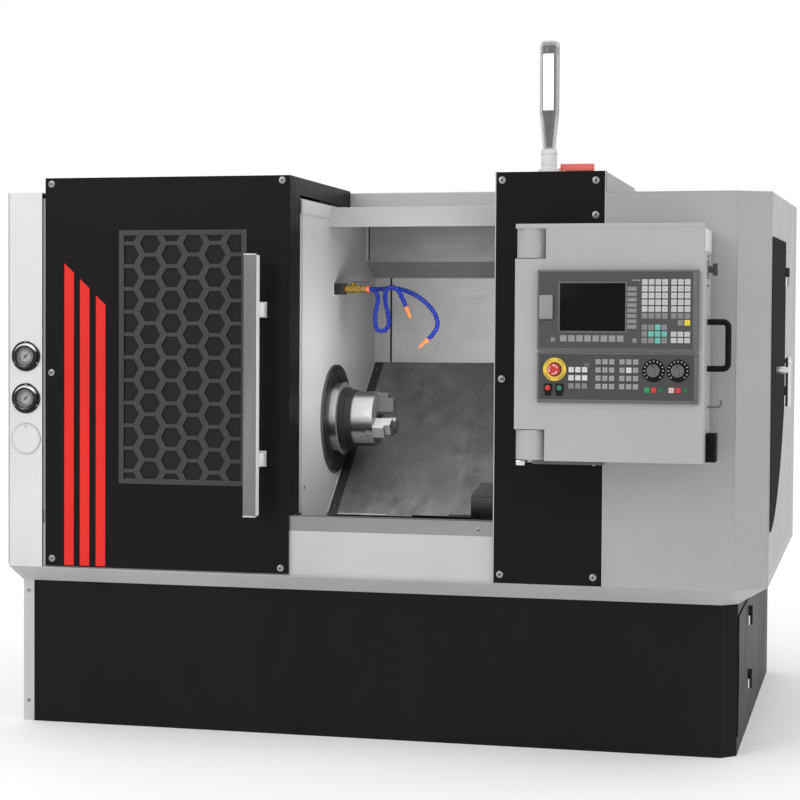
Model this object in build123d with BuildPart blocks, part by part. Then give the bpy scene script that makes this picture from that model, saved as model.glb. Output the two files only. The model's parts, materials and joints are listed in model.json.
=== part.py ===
"""Slant-bed turning lathe in a sheet-metal casing, with a swivelling control pendant.

Millimetres. X runs from the headstock end to the tailstock end, Y to the back and Z up.
The origin is on the floor, under the middle of the casing.
"""
import os
from math import atan2, cos, hypot, pi, radians, sin, tan

from build123d import *

os.makedirs("parts", exist_ok=True)

# Casing
body_width = 2174.0
body_depth = 1600.0
base_height = 416.0
pan_rise = 47.0
casing_bottom = base_height + pan_rise
left_end = -body_width / 2
right_end = body_width / 2
panel_top = casing_bottom + 1124.0
sheet = 2.5
thick_sheet = 3.0
corner_width = 84.0
corner_depth = 104.0
running_gap = 0.3
slide_gap = 0.4
shaft_gap = 0.05

# Base cabinet
base_left = left_end + 52.0
base_right = right_end - 79.0
base_front = 64.0
base_rear = body_depth - 63.0
base_corner = 40.0
base_wall = 12.0
end_strip_width = 33.0

# Front of the casing, from the left: end column, door, opening, fascia, right cover
column_right = left_end + 104.0
column_top = casing_bottom + 1083.0
opening_left = -body_width * 118 / 1087
opening_right = body_width * 174 / 1087
fascia_right = body_width * 651 / 2174
fixed_front = 8.0
sill_bottom = casing_bottom + 126.0
sill_top = casing_bottom + 167.0
sill_depth = 50.0
headstock_cover_top = casing_bottom + 1067.0
return_depth = 126.0

# Sliding door
door_left = column_right + 11.0
door_bottom = casing_bottom + 4.0
door_return = 100.0
door_roof_depth = 646.0
roof_box_depth = door_roof_depth + 4.0
door_flange_height = 50.0
door_over_sill = 2.0
runner_y = 300.0
runner_width = 10.0
felt_height = 30.0
window_left = opening_left - 509.0
window_right = opening_left - 126.0
window_bottom = casing_bottom + 248.0
window_top = casing_bottom + 973.0
window_lap = 10.0
grille_thick = 2.0
grille_border = 15.0
hex_flats = 54.0
hex_rise = 65.0
hex_step = 64.8
hex_columns = 6
hex_rows = 11
pane_thick = 3.0

# Door handle
handle_left = opening_left - 104.0
handle_width = 38.0
handle_thick = 30.0
handle_reach = 100.0
handle_chamfer = 1.5
handle_bottom = casing_bottom + 170.0
handle_top = casing_bottom + 901.0
standoff_height = 36.0
standoff_inset = 3.0
standoff_low = casing_bottom + 328.0
standoff_high = casing_bottom + 747.0

# Pressure gauges and blank cap on the end column
gauge_x = left_end + 55.0
gauge_heights = (casing_bottom + 611.0, casing_bottom + 489.0)
gauge_flange_r = 44.0
gauge_flange_thick = 3.0
gauge_case_r = 29.5
gauge_case_depth = 35.0
bezel_r = 31.0
bezel_height = 9.0
dial_r = 28.0
dial_depth = 8.0
needle_length = 23.0
needle_thick = 0.8
needle_hub_r = 3.5
needle_post_r = 1.2
needle_lift = 0.6
needle_angle = 45.0
cap_height = casing_bottom + 371.0
bar_hole_r = 35.0

# Right-hand cover, side door and its lever
right_roof_front = casing_bottom + 1067.0
right_roof_rear = casing_bottom + 1122.0
side_door_front = 120.0
side_door_rear = 810.0
side_door_toe = 142.0
side_door_front_top = casing_bottom + 950.0
side_door_rear_top = casing_bottom + 967.0
side_door_rear_low = casing_bottom + 477.0
side_door_belly_y = 400.0
side_door_belly_z = casing_bottom + 199.0
side_door_low = casing_bottom + 147.0
side_door_thick = 4.0
side_glass_inset = 28.0
side_glass_depth = 1.0
side_lap = 14.0
side_hinges = (casing_bottom + 474.0, casing_bottom + 834.0)
side_hinge_height = 56.0
hinge_r = 6.0
hinge_pin_r = 2.5
hinge_out = 9.0
hinge_back = 10.0
side_lever_y = 305.0
side_lever_z = casing_bottom + 587.0
side_lever_hub_r = 11.0
side_lever_arm = 34.0
side_lever_grip_r = 8.0
side_lever_low = casing_bottom + 486.0
side_lever_high = casing_bottom + 613.0
side_lever_knob_r = 11.0

# Base door
base_door_front = 106.0
base_door_rear = 494.0
base_door_low = 52.0
base_door_high = 383.0
base_door_thick = 4.0
base_door_lap = 8.0
base_hinges = (120.0, 305.0)
base_hinge_height = 55.0
pull_low = 168.0
pull_high = 278.0
pull_depth = 9.0

# Slanted bed, in its own frame: s runs up the slope, n stands off it
slope_foot_y = 396.0
slope_foot_z = casing_bottom + 137.0
slope_head_y = 967.0
slope_head_z = casing_bottom + 590.0
slope = atan2(slope_head_z - slope_foot_z, slope_head_y - slope_foot_y)
slope_length = hypot(slope_head_z - slope_foot_z, slope_head_y - slope_foot_y)
bed_left = left_end + 137.0
bed_right = right_end - 137.0
bed_front = slope_foot_y + 4.0
bed_rear = slope_head_y + 93.0
bed_drop = 70.0
bed_wall = 35.0
bed_end_s = 700.0
way_height = 20.0
way_width = 70.0
way_low_s = 60.0
way_high_s = 430.0
cover_sheet = 2.0
cover_step = 2.4
cover_rib = 12.0
cover_rib_s = (25.0, 660.0)

# Work area
wall_thick = 3.0
wall_low = casing_bottom + 42.0
back_wall_low = slope_head_z
back_wall_high = casing_bottom + 865.0
back_strip_top = casing_bottom + 914.0
back_strip_y = slope_head_y - 117.0
liner_right = right_end - 102.0
trough_floor = casing_bottom + 42.0
beam_front = 410.0
beam_low = casing_bottom + 1001.0
beam_top = casing_bottom + 1057.0
rear_roof_y = roof_box_depth + 2.0
rear_roof_top = casing_bottom + 1117.0
cabinet_front = slope_head_y + 133.0
roof_box_low = casing_bottom + 977.0
louvre_banks = (opening_left - 364.0, opening_right - 148.0)
louvre_count = 9
louvre_pitch = 30.0
louvre_width = 300.0
louvre_gap = 8.0

# Spindle, chuck and jaws
axis_y = slope_foot_y + 85.0
axis_z = casing_bottom + 425.0
spindle_r = 45.0
spindle_bore_r = 26.0
head_left = opening_left - 544.0
spindle_rear = head_left - 70.0
nose_r = 70.0
flange_r = 110.0
flange_thick = 20.0
flange_gap = 0.6
seal_r = 163.0
seal_thick = 10.0
seal_gap = 2.0
seal_chamfer = 2.0
adapter_r = 93.5
adapter_thick = 17.0
chuck_r = 82.5
chuck_length = 88.0
chuck_bore_r = 22.5
chuck_groove = 3.0
jaw_count = 3
jaw_slot_width = 20.0
jaw_slot_depth = 22.0
jaw_width = 34.0
jaw_length = 50.0
jaw_inner = 14.0
jaw_outer = 78.0
jaw_step = 16.0
jaw_stroke = 2.75

# Headstock and drive
head_right = opening_left - 64.0
head_r = 150.0
head_foot_low = 45.0
head_foot_high = 515.0
head_foot_thick = 35.0
bearing_cap_r = 82.0
bearing_cap_thick = 14.0
pulley_width = 48.0
spindle_pulley_r = 95.0
motor_pulley_r = 70.0
pulley_rim = 3.0
belt_thick = 8.0
belt_side = 4.0
motor_y = axis_y + 319.0
motor_z = casing_bottom + 742.0
motor_r = 105.0
motor_left = head_left + 20.0
motor_right = head_right - 100.0
motor_boss = 10.0
motor_boss_r = 63.0
motor_foot = 200.0
motor_foot_inset = 20.0
motor_shaft_r = 15.0
motor_shaft_in = 60.0

# Carriage, cross slide and turret
saddle_left = opening_right + 52.0
saddle_right = saddle_left + 280.0
saddle_top = 20.0
saddle_low_s = 40.0
saddle_high_s = 515.0
saddle_plate_s = 700.0
carriage_left_travel = 360.0
carriage_right_travel = 120.0
cover_lap = 15.0
apron_left = saddle_left - 170.0
apron_front = 280.0
apron_low = casing_bottom + 145.0
apron_top = casing_bottom + 212.0
apron_foot_s = 10.0
apron_heel_s = 62.0
apron_top_rear = slope_foot_y - 10.0
saddle_plate_thick = 6.0
slide_low_s = 330.0
slide_high_s = 650.0
slide_left = saddle_left + 122.0
slide_right = saddle_left + 260.0
slide_height = 50.0
turret_s = 500.0
turret_r = 125.0
turret_left = saddle_left + 50.0
turret_thick = 65.0
turret_head_r = 98.0
turret_stations = 8
holder_width = 40.0
holder_depth = 28.0
holder_height = 46.0
holder_inset = 12.0
tool_seat = 4.0
tool_size = 20.0
tool_reach = 150.0

# Coolant valve, hoses and nozzles
valve_z = casing_bottom + 817.0
valve_y = axis_y - 8.0
valve_block = 34.0
valve_ball_r = 13.0
valve_ball_end = opening_left + 81.0
collar_r = 11.0
collar_end = valve_ball_end + 17.0
outlet_pitch = 24.0
manifold_width = 12.0
hose_d = 15.0
nozzle_length = 38.0
nozzle_tip_r = 3.0
valve_lever_length = 45.0
valve_lever_z = valve_z + 20.0
valve_lever_width = 10.4
valve_lever_thick = 3.0

# Signal lamp and roof valve
lamp_x = opening_right + 131.0
lamp_y = 100.0
lamp_foot_r = 31.0
lamp_foot_height = 13.0
lamp_base_r = 22.0
lamp_base_top = panel_top + 68.0
lamp_taper_top = panel_top + 170.0
lamp_tube_r = 27.0
lamp_taper_r = 17.0
lamp_tube_top = panel_top + 356.0
lamp_cap_top = panel_top + 366.0
roof_valve_x = opening_right + 168.0
roof_valve_y = 128.0
roof_valve_top = panel_top + 13.0
roof_valve_r = 9.0
roof_valve_hex = 6.0
roof_lever_length = 98.0
roof_lever_width = 16.0
roof_lever_thick = 5.0

# Control pendant
pendant_left = opening_right + 93.0
pendant_right = pendant_left + 495.0
pendant_low = casing_bottom + 351.0
pendant_top = casing_bottom + 962.0
pendant_front = -205.0
pendant_back = -15.0
pendant_fillet = 6.0
knuckle = 80.0
knuckle_gap = 2.0
pivot_x = pendant_left + 40.0
pivot_y = -165.0
pivot_pin_r = 8.0
pivot_pin_length = 60.0
mount_low = pendant_low - 17.0
mount_top = pendant_top + 10.0
mount_thick = 4.0
arm_width = 56.0
unit_left = pendant_left + 63.0
unit_right = pendant_right - 14.0
display_low = pendant_low + 291.5
display_top = pendant_low + 498.5
display_proud = 15.0
switches_low = pendant_low + 154.0
switches_top = pendant_low + 285.0
switches_proud = 10.0
key_size = 13.0
key_pitch = 17.4
key_high = 0.8
switch_pitch = (17.6, 21.3)
screen = (unit_left + 57.0, unit_left + 232.5, display_low + 46.8, display_low + 175.4)
screen_depth = 1.0
port_flap = (unit_left + 7.0, unit_left + 42.0, display_low + 79.5, display_low + 142.5)
port_flap_proud = 4.0
estop_x = unit_left + 46.7
estop_z = switches_low + 86.4
estop_collar_r = 31.0
estop_collar_thick = 3.0
estop_r = 16.5
estop_stem_r = 9.0
estop_height = 24.0
estop_travel = 4.0
push_z = switches_low + 38.3
stop_x = unit_left + 29.1
start_x = unit_left + 59.7
push_r = 7.0
push_height = 6.0
push_depth = 10.0
push_travel = 2.0
knob_z = switches_low + 85.0
feed_knob_x = unit_left + 304.2
speed_knob_x = unit_left + 366.7
knob_r = 17.0
knob_height = 16.0
knob_flutes = 12
knob_flute_r = 2.4
knob_ridge = 7.0
knob_shaft_r = 3.0
knob_shaft = 9.0
dial_plate_r = 28.0
dial_plate_thick = 0.8
bail_low = pendant_low + 236.0
bail_high = pendant_low + 374.0
bail_r = 8.0
bail_reach = 54.0
bail_bend = 14.0
bail_y = -110.0
latch_z = pendant_low + 503.0
latch_y = -110.0
latch_r = 9.0
latch_height = 12.0
latch_wing = 16.0
latch_stem_r = 4.0
latch_stem = 10.0
holder_low = pendant_low + 1.0
holder_top = pendant_low + 75.0
holder_strip_top = pendant_low + 146.0
holder_box = 26.0
holder_strip_width = 40.0
holder_width_y = 60.0
holder_y = -110.0


def behind(depth):
    """Y of a place that lies this far behind the front panels."""
    return depth - body_depth / 2


def box(x, y, z, mode=Mode.ADD):
    """Box in the part being built, between two values on each axis; y is behind the front."""
    with Locations(((x[0] + x[1]) / 2, behind((y[0] + y[1]) / 2), (z[0] + z[1]) / 2)):
        Box(abs(x[1] - x[0]), abs(y[1] - y[0]), abs(z[1] - z[0]), mode=mode)


def face_plane(depth, x=0.0, z=0.0, turn=0.0):
    """Plane that faces the operator: local x is X, turned towards Z; extrusions come forward."""
    turned = (cos(radians(turn)), 0, sin(radians(turn)))
    return Plane(origin=(x, behind(depth), z), x_dir=turned, z_dir=(0, -1, 0))


def side_plane(x, depth=0.0, z=0.0, turn=0.0):
    """Plane across the machine: local x is Y, turned towards Z; extrusions run to the right."""
    turned = (0, cos(radians(turn)), sin(radians(turn)))
    return Plane(origin=(x, behind(depth), z), x_dir=turned, z_dir=(1, 0, 0))


def slope_plane(x):
    """Plane across the machine in the bed's own frame: local x is s, local y is n."""
    return Plane(
        origin=(x, behind(slope_foot_y), slope_foot_z),
        x_dir=(0, cos(slope), sin(slope)),
        z_dir=(1, 0, 0),
    )


def filled(points):
    """Closed outline in the sketch being built."""
    with BuildLine() as edge_line:
        Polyline(*points, close=True)
    make_face(edge_line.edges())


def outline(x_low, x_high, y_low, y_high, corner_x, corner_y):
    """Plan of the machine: a rectangle with its front right corner cut off."""
    return [
        (x_low, behind(y_low)),
        (x_high - corner_x, behind(y_low)),
        (x_high, behind(y_low + corner_y)),
        (x_high, behind(y_high)),
        (x_low, behind(y_high)),
    ]


def folded(x_low, x_high, points, thickness):
    """Sheet folded along X, its outer line given as (y, z) places, thickened to one side."""
    with BuildSketch(side_plane(x_low)) as section:
        with BuildLine():
            route = Polyline(*points)
            offset(route, amount=thickness, side=Side.LEFT)
        make_face()
    extrude(section.sketch, amount=x_high - x_low)


def bar(plane, radius, length, mode=Mode.ADD):
    """Round bar that stands on a plane."""
    with BuildSketch(plane) as section:
        Circle(radius)
    extrude(section.sketch, amount=length, mode=mode)


def save(piece, name):
    """Label a finished piece and write its file."""
    piece.part.label = name
    export_step(piece.part, f"parts/{name}.step")


bottom_left = base_left - end_strip_width
hinge_half = side_hinge_height / 2

# Base cabinet: a closed box of thick plate with a doorway in its right end
base_hinge_x = base_right + hinge_out
base_hinge_y = base_door_rear + hinge_back
with BuildPart() as base_cabinet:
    with BuildSketch():
        filled(outline(base_left, base_right, base_front, base_rear, base_corner, base_corner))
    extrude(amount=base_height)
    with BuildSketch(Plane.XY.offset(base_wall)):
        filled(
            outline(
                base_left + base_wall,
                base_right - base_wall,
                base_front + base_wall,
                base_rear - base_wall,
                base_corner,
                base_corner,
            )
        )
    extrude(amount=base_height - 2 * base_wall, mode=Mode.SUBTRACT)
    box(
        (base_right - 2 * base_wall, base_right + base_wall),
        (base_door_front + base_door_lap, base_door_rear - base_door_lap),
        (base_door_low + base_door_lap, base_door_high - base_door_lap),
        mode=Mode.SUBTRACT,
    )
    for hinge_low in base_hinges:
        half = base_hinge_height / 2
        bar(Plane((base_hinge_x, behind(base_hinge_y), hinge_low)), hinge_r, half - running_gap)
        box(
            (base_right, base_hinge_x),
            (base_hinge_y, base_hinge_y + hinge_r),
            (hinge_low, hinge_low + half - running_gap),
        )
        bar(Plane((base_hinge_x, behind(base_hinge_y), hinge_low)), hinge_pin_r, 2 * half)
save(base_cabinet, "base_cabinet")

# Base door: a plate with a finger notch, hung on two pins at its rear edge
with BuildPart() as base_door:
    box(
        (base_right + slide_gap, base_right + slide_gap + base_door_thick),
        (base_door_front, base_door_rear),
        (base_door_low, base_door_high),
    )
    box(
        (base_right, base_right + 2 * base_door_thick),
        (base_door_front, base_door_front + pull_depth),
        (pull_low, pull_high),
        mode=Mode.SUBTRACT,
    )
    for hinge_low in base_hinges:
        half = base_hinge_height / 2
        bar(Plane((base_hinge_x, behind(base_hinge_y), hinge_low + half)), hinge_r, half)
        box(
            (base_right + slide_gap, base_hinge_x),
            (base_door_rear - hinge_r, base_hinge_y),
            (hinge_low + half, hinge_low + 2 * half),
        )
        bar(
            Plane((base_hinge_x, behind(base_hinge_y), hinge_low)),
            hinge_pin_r + shaft_gap,
            2 * half,
            mode=Mode.SUBTRACT,
        )
save(base_door, "base_door")

# Casing floor: a folded pan that widens from the base to the panels, the low front panel
# and the strip that closes the base's left end
with BuildPart() as casing_floor:
    with BuildSketch(Plane.XY.offset(base_height)):
        filled(outline(bottom_left, base_right, base_front, base_rear, base_corner, base_corner))
    with BuildSketch(Plane.XY.offset(casing_bottom)):
        filled(outline(left_end, right_end, 0, body_depth, corner_width, corner_depth))
    loft(ruled=True)
    pan_mouth = casing_floor.faces().sort_by(Axis.Z)[-1]
    offset(amount=-thick_sheet, openings=pan_mouth, kind=Kind.INTERSECTION)
    low_panel_x = (column_right, opening_right)
    box(low_panel_x, (thick_sheet / 2, fixed_front + sheet), (casing_bottom - sheet, casing_bottom))
    box(low_panel_x, (fixed_front, fixed_front + sheet), (casing_bottom - sheet, sill_bottom))
    box((bottom_left, base_left), (base_front, base_rear), (0, base_height))
    box(
        (bottom_left + thick_sheet, base_left + thick_sheet),
        (base_front + thick_sheet, base_rear - thick_sheet),
        (-thick_sheet, base_height - thick_sheet),
        mode=Mode.SUBTRACT,
    )
save(casing_floor, "casing_floor")

# Left end cover: front column, end wall, rear wall and top in one folded shell
with BuildPart() as left_end_cover:
    box((left_end, column_right), (0, body_depth), (casing_bottom, column_top))
    box(
        (left_end + thick_sheet, column_right + thick_sheet),
        (thick_sheet, body_depth - thick_sheet),
        (casing_bottom - thick_sheet, column_top - thick_sheet),
        mode=Mode.SUBTRACT,
    )
    for gauge_height in gauge_heights:
        bar(
            face_plane(2 * thick_sheet, gauge_x, gauge_height),
            gauge_case_r + running_gap,
            3 * thick_sheet,
            mode=Mode.SUBTRACT,
        )
    bar(face_plane(0, gauge_x, cap_height), gauge_flange_r, gauge_flange_thick)
    bar(side_plane(left_end, axis_y, axis_z), bar_hole_r, thick_sheet, mode=Mode.SUBTRACT)
save(left_end_cover, "left_end_cover")

# Pressure gauges: flanged case with a raised bezel round a sunk dial and its needle post
dial_face = -gauge_flange_thick - bezel_height + dial_depth
with BuildPart() as pressure_gauges:
    for gauge_height in gauge_heights:
        bar(face_plane(0, gauge_x, gauge_height), gauge_flange_r, gauge_flange_thick)
        bar(face_plane(gauge_case_depth, gauge_x, gauge_height), gauge_case_r, gauge_case_depth)
        bar(face_plane(-gauge_flange_thick, gauge_x, gauge_height), bezel_r, bezel_height)
        bar(face_plane(dial_face, gauge_x, gauge_height), dial_r, dial_depth, mode=Mode.SUBTRACT)
        bar(face_plane(dial_face, gauge_x, gauge_height), needle_post_r, dial_depth / 2)
save(pressure_gauges, "pressure_gauges")

# Gauge needles: tapered pointer with a counterweight tail, free on its post
for gauge_height, needle_name in zip(gauge_heights, ("needle_upper", "needle_lower")):
    needle_plane = face_plane(dial_face - needle_lift, gauge_x, gauge_height, needle_angle)
    with BuildPart() as needle:
        with BuildSketch(needle_plane):
            filled([
                (needle_length, 0),
                (0, needle_hub_r / 2),
                (-needle_length / 3, needle_hub_r / 2),
                (-needle_length / 3, -needle_hub_r / 2),
                (0, -needle_hub_r / 2),
            ])
            Circle(needle_hub_r)
            Circle(needle_post_r + shaft_gap, mode=Mode.SUBTRACT)
        extrude(amount=needle_thick)
    save(needle, needle_name)

# Headstock cover: front, top and a short return at the opening, open to the end cover
cover_right = opening_left - wall_thick
with BuildPart() as headstock_cover:
    box((column_right, cover_right), (fixed_front, rear_roof_y), (sill_top, headstock_cover_top))
    box(
        (column_right - sheet, cover_right - sheet),
        (fixed_front + sheet, rear_roof_y + sheet),
        (sill_top - sheet, headstock_cover_top - sheet),
        mode=Mode.SUBTRACT,
    )
    box(
        (cover_right - 2 * sheet, cover_right + sheet),
        (return_depth, rear_roof_y + sheet),
        (sill_top - sheet, headstock_cover_top - sheet),
        mode=Mode.SUBTRACT,
    )
save(headstock_cover, "headstock_cover")

# Sill rail: folded channel under the opening, on which the door runs
with BuildPart() as sill_rail:
    box((column_right, opening_right), (fixed_front, fixed_front + sheet), (sill_bottom, sill_top))
    box((column_right, opening_right), (fixed_front, fixed_front + sill_depth), (sill_top - sheet, sill_top))
    box(
        (column_right, opening_right),
        (fixed_front + sill_depth - sheet, fixed_front + sill_depth),
        (sill_bottom + sheet, sill_top),
    )
save(sill_rail, "sill_rail")

# Fascia: tall front sheet with a return on each side
with BuildPart() as fascia_panel:
    box((opening_right, fascia_right), (0, sheet), (casing_bottom, panel_top))
    box((opening_right, opening_right + sheet), (0, sill_depth), (casing_bottom, panel_top))
    box((fascia_right - sheet, fascia_right), (0, fixed_front + sheet), (casing_bottom, panel_top))
save(fascia_panel, "fascia_panel")

# Roof box: fixed roof behind the fascia, open below
roof_box_left = opening_right + sheet + slide_gap
roof_box_right = fascia_right - sheet - slide_gap
with BuildPart() as roof_box:
    box((roof_box_left, roof_box_right), (sheet + slide_gap, roof_box_depth), (roof_box_low, panel_top))
    box(
        (roof_box_left + sheet, roof_box_right - sheet),
        (2 * sheet + slide_gap, roof_box_depth - sheet),
        (roof_box_low - sheet, panel_top - sheet),
        mode=Mode.SUBTRACT,
    )
save(roof_box, "roof_box")

# Right-hand cover: chamfered shell with a roof that rises to the back and a service opening
side_arc = (
    (side_door_rear, side_door_rear_low),
    (side_door_belly_y, side_door_belly_z),
    (side_door_toe, side_door_low),
)


def side_outline(inset):
    """Blade-shaped outline of the side door, drawn in by an inset, in the sketch being built."""
    with BuildLine() as edge_line:
        Line(side_arc[2], (side_door_front, side_door_front_top))
        Line((side_door_front, side_door_front_top), (side_door_rear, side_door_rear_top))
        Line((side_door_rear, side_door_rear_top), side_arc[0])
        ThreePointArc(*side_arc)
    make_face(edge_line.edges())
    if inset:
        offset(amount=-inset, kind=Kind.INTERSECTION, mode=Mode.REPLACE)


side_hinge_x = right_end + hinge_out
side_hinge_y = side_door_rear + hinge_back
with BuildPart() as right_cover:
    with BuildSketch(side_plane(fascia_right)):
        filled([
            (0, casing_bottom),
            (0, right_roof_front),
            (body_depth, right_roof_rear),
            (body_depth, casing_bottom),
        ])
    extrude(amount=right_end - fascia_right)
    with BuildSketch(Plane.XY.offset(casing_bottom)):
        filled([
            (right_end - corner_width, behind(0)),
            (right_end + corner_width, behind(0)),
            (right_end + corner_width, behind(corner_depth)),
            (right_end, behind(corner_depth)),
        ])
    extrude(amount=panel_top, mode=Mode.SUBTRACT)
    cover_floor = right_cover.faces().sort_by(Axis.Z)[0]
    cover_left = right_cover.faces().sort_by(Axis.X)[0]
    offset(amount=-thick_sheet, openings=[cover_floor, cover_left], kind=Kind.INTERSECTION)
    with BuildSketch(side_plane(right_end - 2 * thick_sheet)):
        side_outline(side_lap)
    extrude(amount=3 * thick_sheet, mode=Mode.SUBTRACT)
    for hinge_low in side_hinges:
        bar(Plane((side_hinge_x, behind(side_hinge_y), hinge_low)), hinge_r, hinge_half - running_gap)
        box(
            (right_end - thick_sheet / 2, side_hinge_x),
            (side_hinge_y, side_hinge_y + hinge_r),
            (hinge_low, hinge_low + hinge_half - running_gap),
        )
        bar(Plane((side_hinge_x, behind(side_hinge_y), hinge_low)), hinge_pin_r, side_hinge_height)
save(right_cover, "right_cover")

# Side door: blade-shaped leaf with a sunk pane, hung at its rear edge, bored for the lever
side_door_x = right_end + slide_gap
with BuildPart() as side_door:
    with BuildSketch(side_plane(side_door_x)):
        side_outline(0)
        with Locations((side_lever_y, side_lever_z)):
            Circle(side_lever_hub_r / 2 + shaft_gap, mode=Mode.SUBTRACT)
    extrude(amount=side_door_thick)
    with BuildSketch(side_plane(side_door_x + side_door_thick - side_glass_depth)):
        side_outline(side_glass_inset)
    extrude(amount=side_glass_depth, mode=Mode.SUBTRACT)
    with BuildSketch(side_plane(side_door_x + side_door_thick - side_glass_depth)):
        with Locations((side_lever_y, side_lever_z)):
            Circle(1.6 * side_lever_hub_r)
            Circle(side_lever_hub_r / 2 + shaft_gap, mode=Mode.SUBTRACT)
    extrude(amount=side_glass_depth)
    for hinge_low in side_hinges:
        bar(Plane((side_hinge_x, behind(side_hinge_y), hinge_low + hinge_half)), hinge_r, hinge_half)
        box(
            (side_door_x, side_hinge_x),
            (side_door_rear - hinge_r, side_hinge_y),
            (hinge_low + hinge_half, hinge_low + side_hinge_height),
        )
        bar(
            Plane((side_hinge_x, behind(side_hinge_y), hinge_low)),
            hinge_pin_r + shaft_gap,
            side_hinge_height,
            mode=Mode.SUBTRACT,
        )
save(side_door, "side_door")

# Side lever: hub on a spindle through the door, a short arm and an upright grip with a knob
lever_base = side_door_x + side_door_thick + running_gap
grip_x = lever_base + side_lever_arm
with BuildPart() as side_lever:
    bar(side_plane(lever_base, side_lever_y, side_lever_z), side_lever_hub_r, side_lever_arm)
    bar(
        side_plane(side_door_x - thick_sheet, side_lever_y, side_lever_z),
        side_lever_hub_r / 2,
        lever_base - side_door_x + thick_sheet,
    )
    grip_low = Plane((grip_x, behind(side_lever_y), side_lever_low))
    bar(grip_low, side_lever_grip_r, side_lever_high - side_lever_low)
    with Locations((grip_x, behind(side_lever_y), side_lever_high)):
        Sphere(side_lever_knob_r)
save(side_lever, "side_lever")

# Rear cabinet: closed electrical housing with louvres, and the rear roof that it carries
with BuildPart() as rear_cabinet:
    box((column_right, fascia_right), (cabinet_front, body_depth), (casing_bottom, rear_roof_top))
    box(
        (column_right + thick_sheet, fascia_right - thick_sheet),
        (cabinet_front + thick_sheet, body_depth - thick_sheet),
        (casing_bottom + thick_sheet, rear_roof_top - thick_sheet),
        mode=Mode.SUBTRACT,
    )
    cabinet_x = (column_right, fascia_right)
    box(cabinet_x, (rear_roof_y, cabinet_front), (rear_roof_top - thick_sheet, rear_roof_top))
    box(cabinet_x, (rear_roof_y, rear_roof_y + sheet), (headstock_cover_top, rear_roof_top))
    box((column_right, column_right + sheet), (rear_roof_y, cabinet_front), (column_top, rear_roof_top))
    with BuildSketch(face_plane(body_depth)):
        for bank_x in louvre_banks:
            with Locations((bank_x, rear_roof_top - louvre_count * louvre_pitch)):
                with GridLocations(0, louvre_pitch, 1, louvre_count):
                    SlotOverall(louvre_width, louvre_gap)
    extrude(amount=2 * thick_sheet, mode=Mode.SUBTRACT)
save(rear_cabinet, "rear_cabinet")

# Roof beam: folded header across the top of the work area
with BuildPart() as roof_beam:
    folded(
        opening_left,
        roof_box_left,
        [
            (beam_front, beam_low),
            (beam_front, beam_top),
            (rear_roof_y - sheet, beam_top),
            (rear_roof_y - sheet, rear_roof_top),
        ],
        -sheet,
    )
save(roof_beam, "roof_beam")

# Spindle wall: left wall of the work area, following the trough and the slope below
with BuildPart() as spindle_wall:
    with BuildSketch(side_plane(opening_left - wall_thick)):
        filled([
            (return_depth, wall_low),
            (slope_foot_y - 4 * wall_thick, wall_low),
            (slope_foot_y, slope_foot_z),
            (slope_head_y, slope_head_z),
            (slope_head_y, headstock_cover_top - sheet),
            (return_depth, headstock_cover_top - sheet),
        ])
        with Locations((axis_y, axis_z)):
            Circle(nose_r + seal_gap, mode=Mode.SUBTRACT)
    extrude(amount=wall_thick)
save(spindle_wall, "spindle_wall")

# Back wall: folded sheet that steps forward under the roof
with BuildPart() as back_wall:
    folded(
        opening_left,
        fascia_right,
        [
            (slope_head_y, back_wall_low),
            (slope_head_y, back_wall_high),
            (back_strip_y, back_strip_top),
            (back_strip_y, rear_roof_top - thick_sheet),
        ],
        -sheet,
    )
save(back_wall, "back_wall")

# Chip trough between the sill and the foot of the slope
trough_front = fixed_front + sill_depth + running_gap
with BuildPart() as chip_trough:
    folded(
        opening_left,
        liner_right,
        [
            (trough_front, sill_bottom),
            (trough_front + 4 * sheet, trough_floor),
            (bed_front - 4 * sheet, trough_floor),
            (bed_front - 3 * sheet, slope_foot_z - sheet),
        ],
        -sheet,
    )
save(chip_trough, "chip_trough")

# Bed casting: hollow slanted bed with two raised ways
slope_cos = cos(slope)
slope_sin = sin(slope)


def on_slope(s, n):
    """(y, z) of a place in the bed's frame."""
    return (slope_foot_y + s * slope_cos - n * slope_sin, slope_foot_z + s * slope_sin + n * slope_cos)


def bed_section(wall):
    """Section of the bed in (y, z), drawn in by a wall thickness."""
    foot_z = on_slope(0, -bed_drop)[1] - (on_slope(0, -bed_drop)[0] - bed_front) * tan(slope)
    head_y, head_z = on_slope(bed_end_s, -bed_drop)
    floor_z = base_height + thick_sheet
    return [
        (bed_front + wall, floor_z + wall),
        (bed_front + wall, foot_z + wall * tan(slope) - wall / slope_cos),
        (head_y, head_z - wall / slope_cos),
        (bed_rear - wall, head_z - wall / slope_cos),
        (bed_rear - wall, floor_z + wall),
    ]


way_top = way_height - bed_drop
with BuildPart() as bed_casting:
    with BuildSketch(side_plane(bed_left)):
        filled(bed_section(0))
        with BuildLine():
            Polyline(*bed_section(bed_wall), close=True)
        make_face(mode=Mode.SUBTRACT)
    extrude(amount=bed_right - bed_left)
    for way_s in (way_low_s, way_high_s):
        with BuildSketch(slope_plane(bed_left)):
            with Locations((way_s + way_width / 2, way_top - way_height / 2)):
                Rectangle(way_width, way_height)
        extrude(amount=bed_right - bed_left)
save(bed_casting, "bed_casting")

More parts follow.
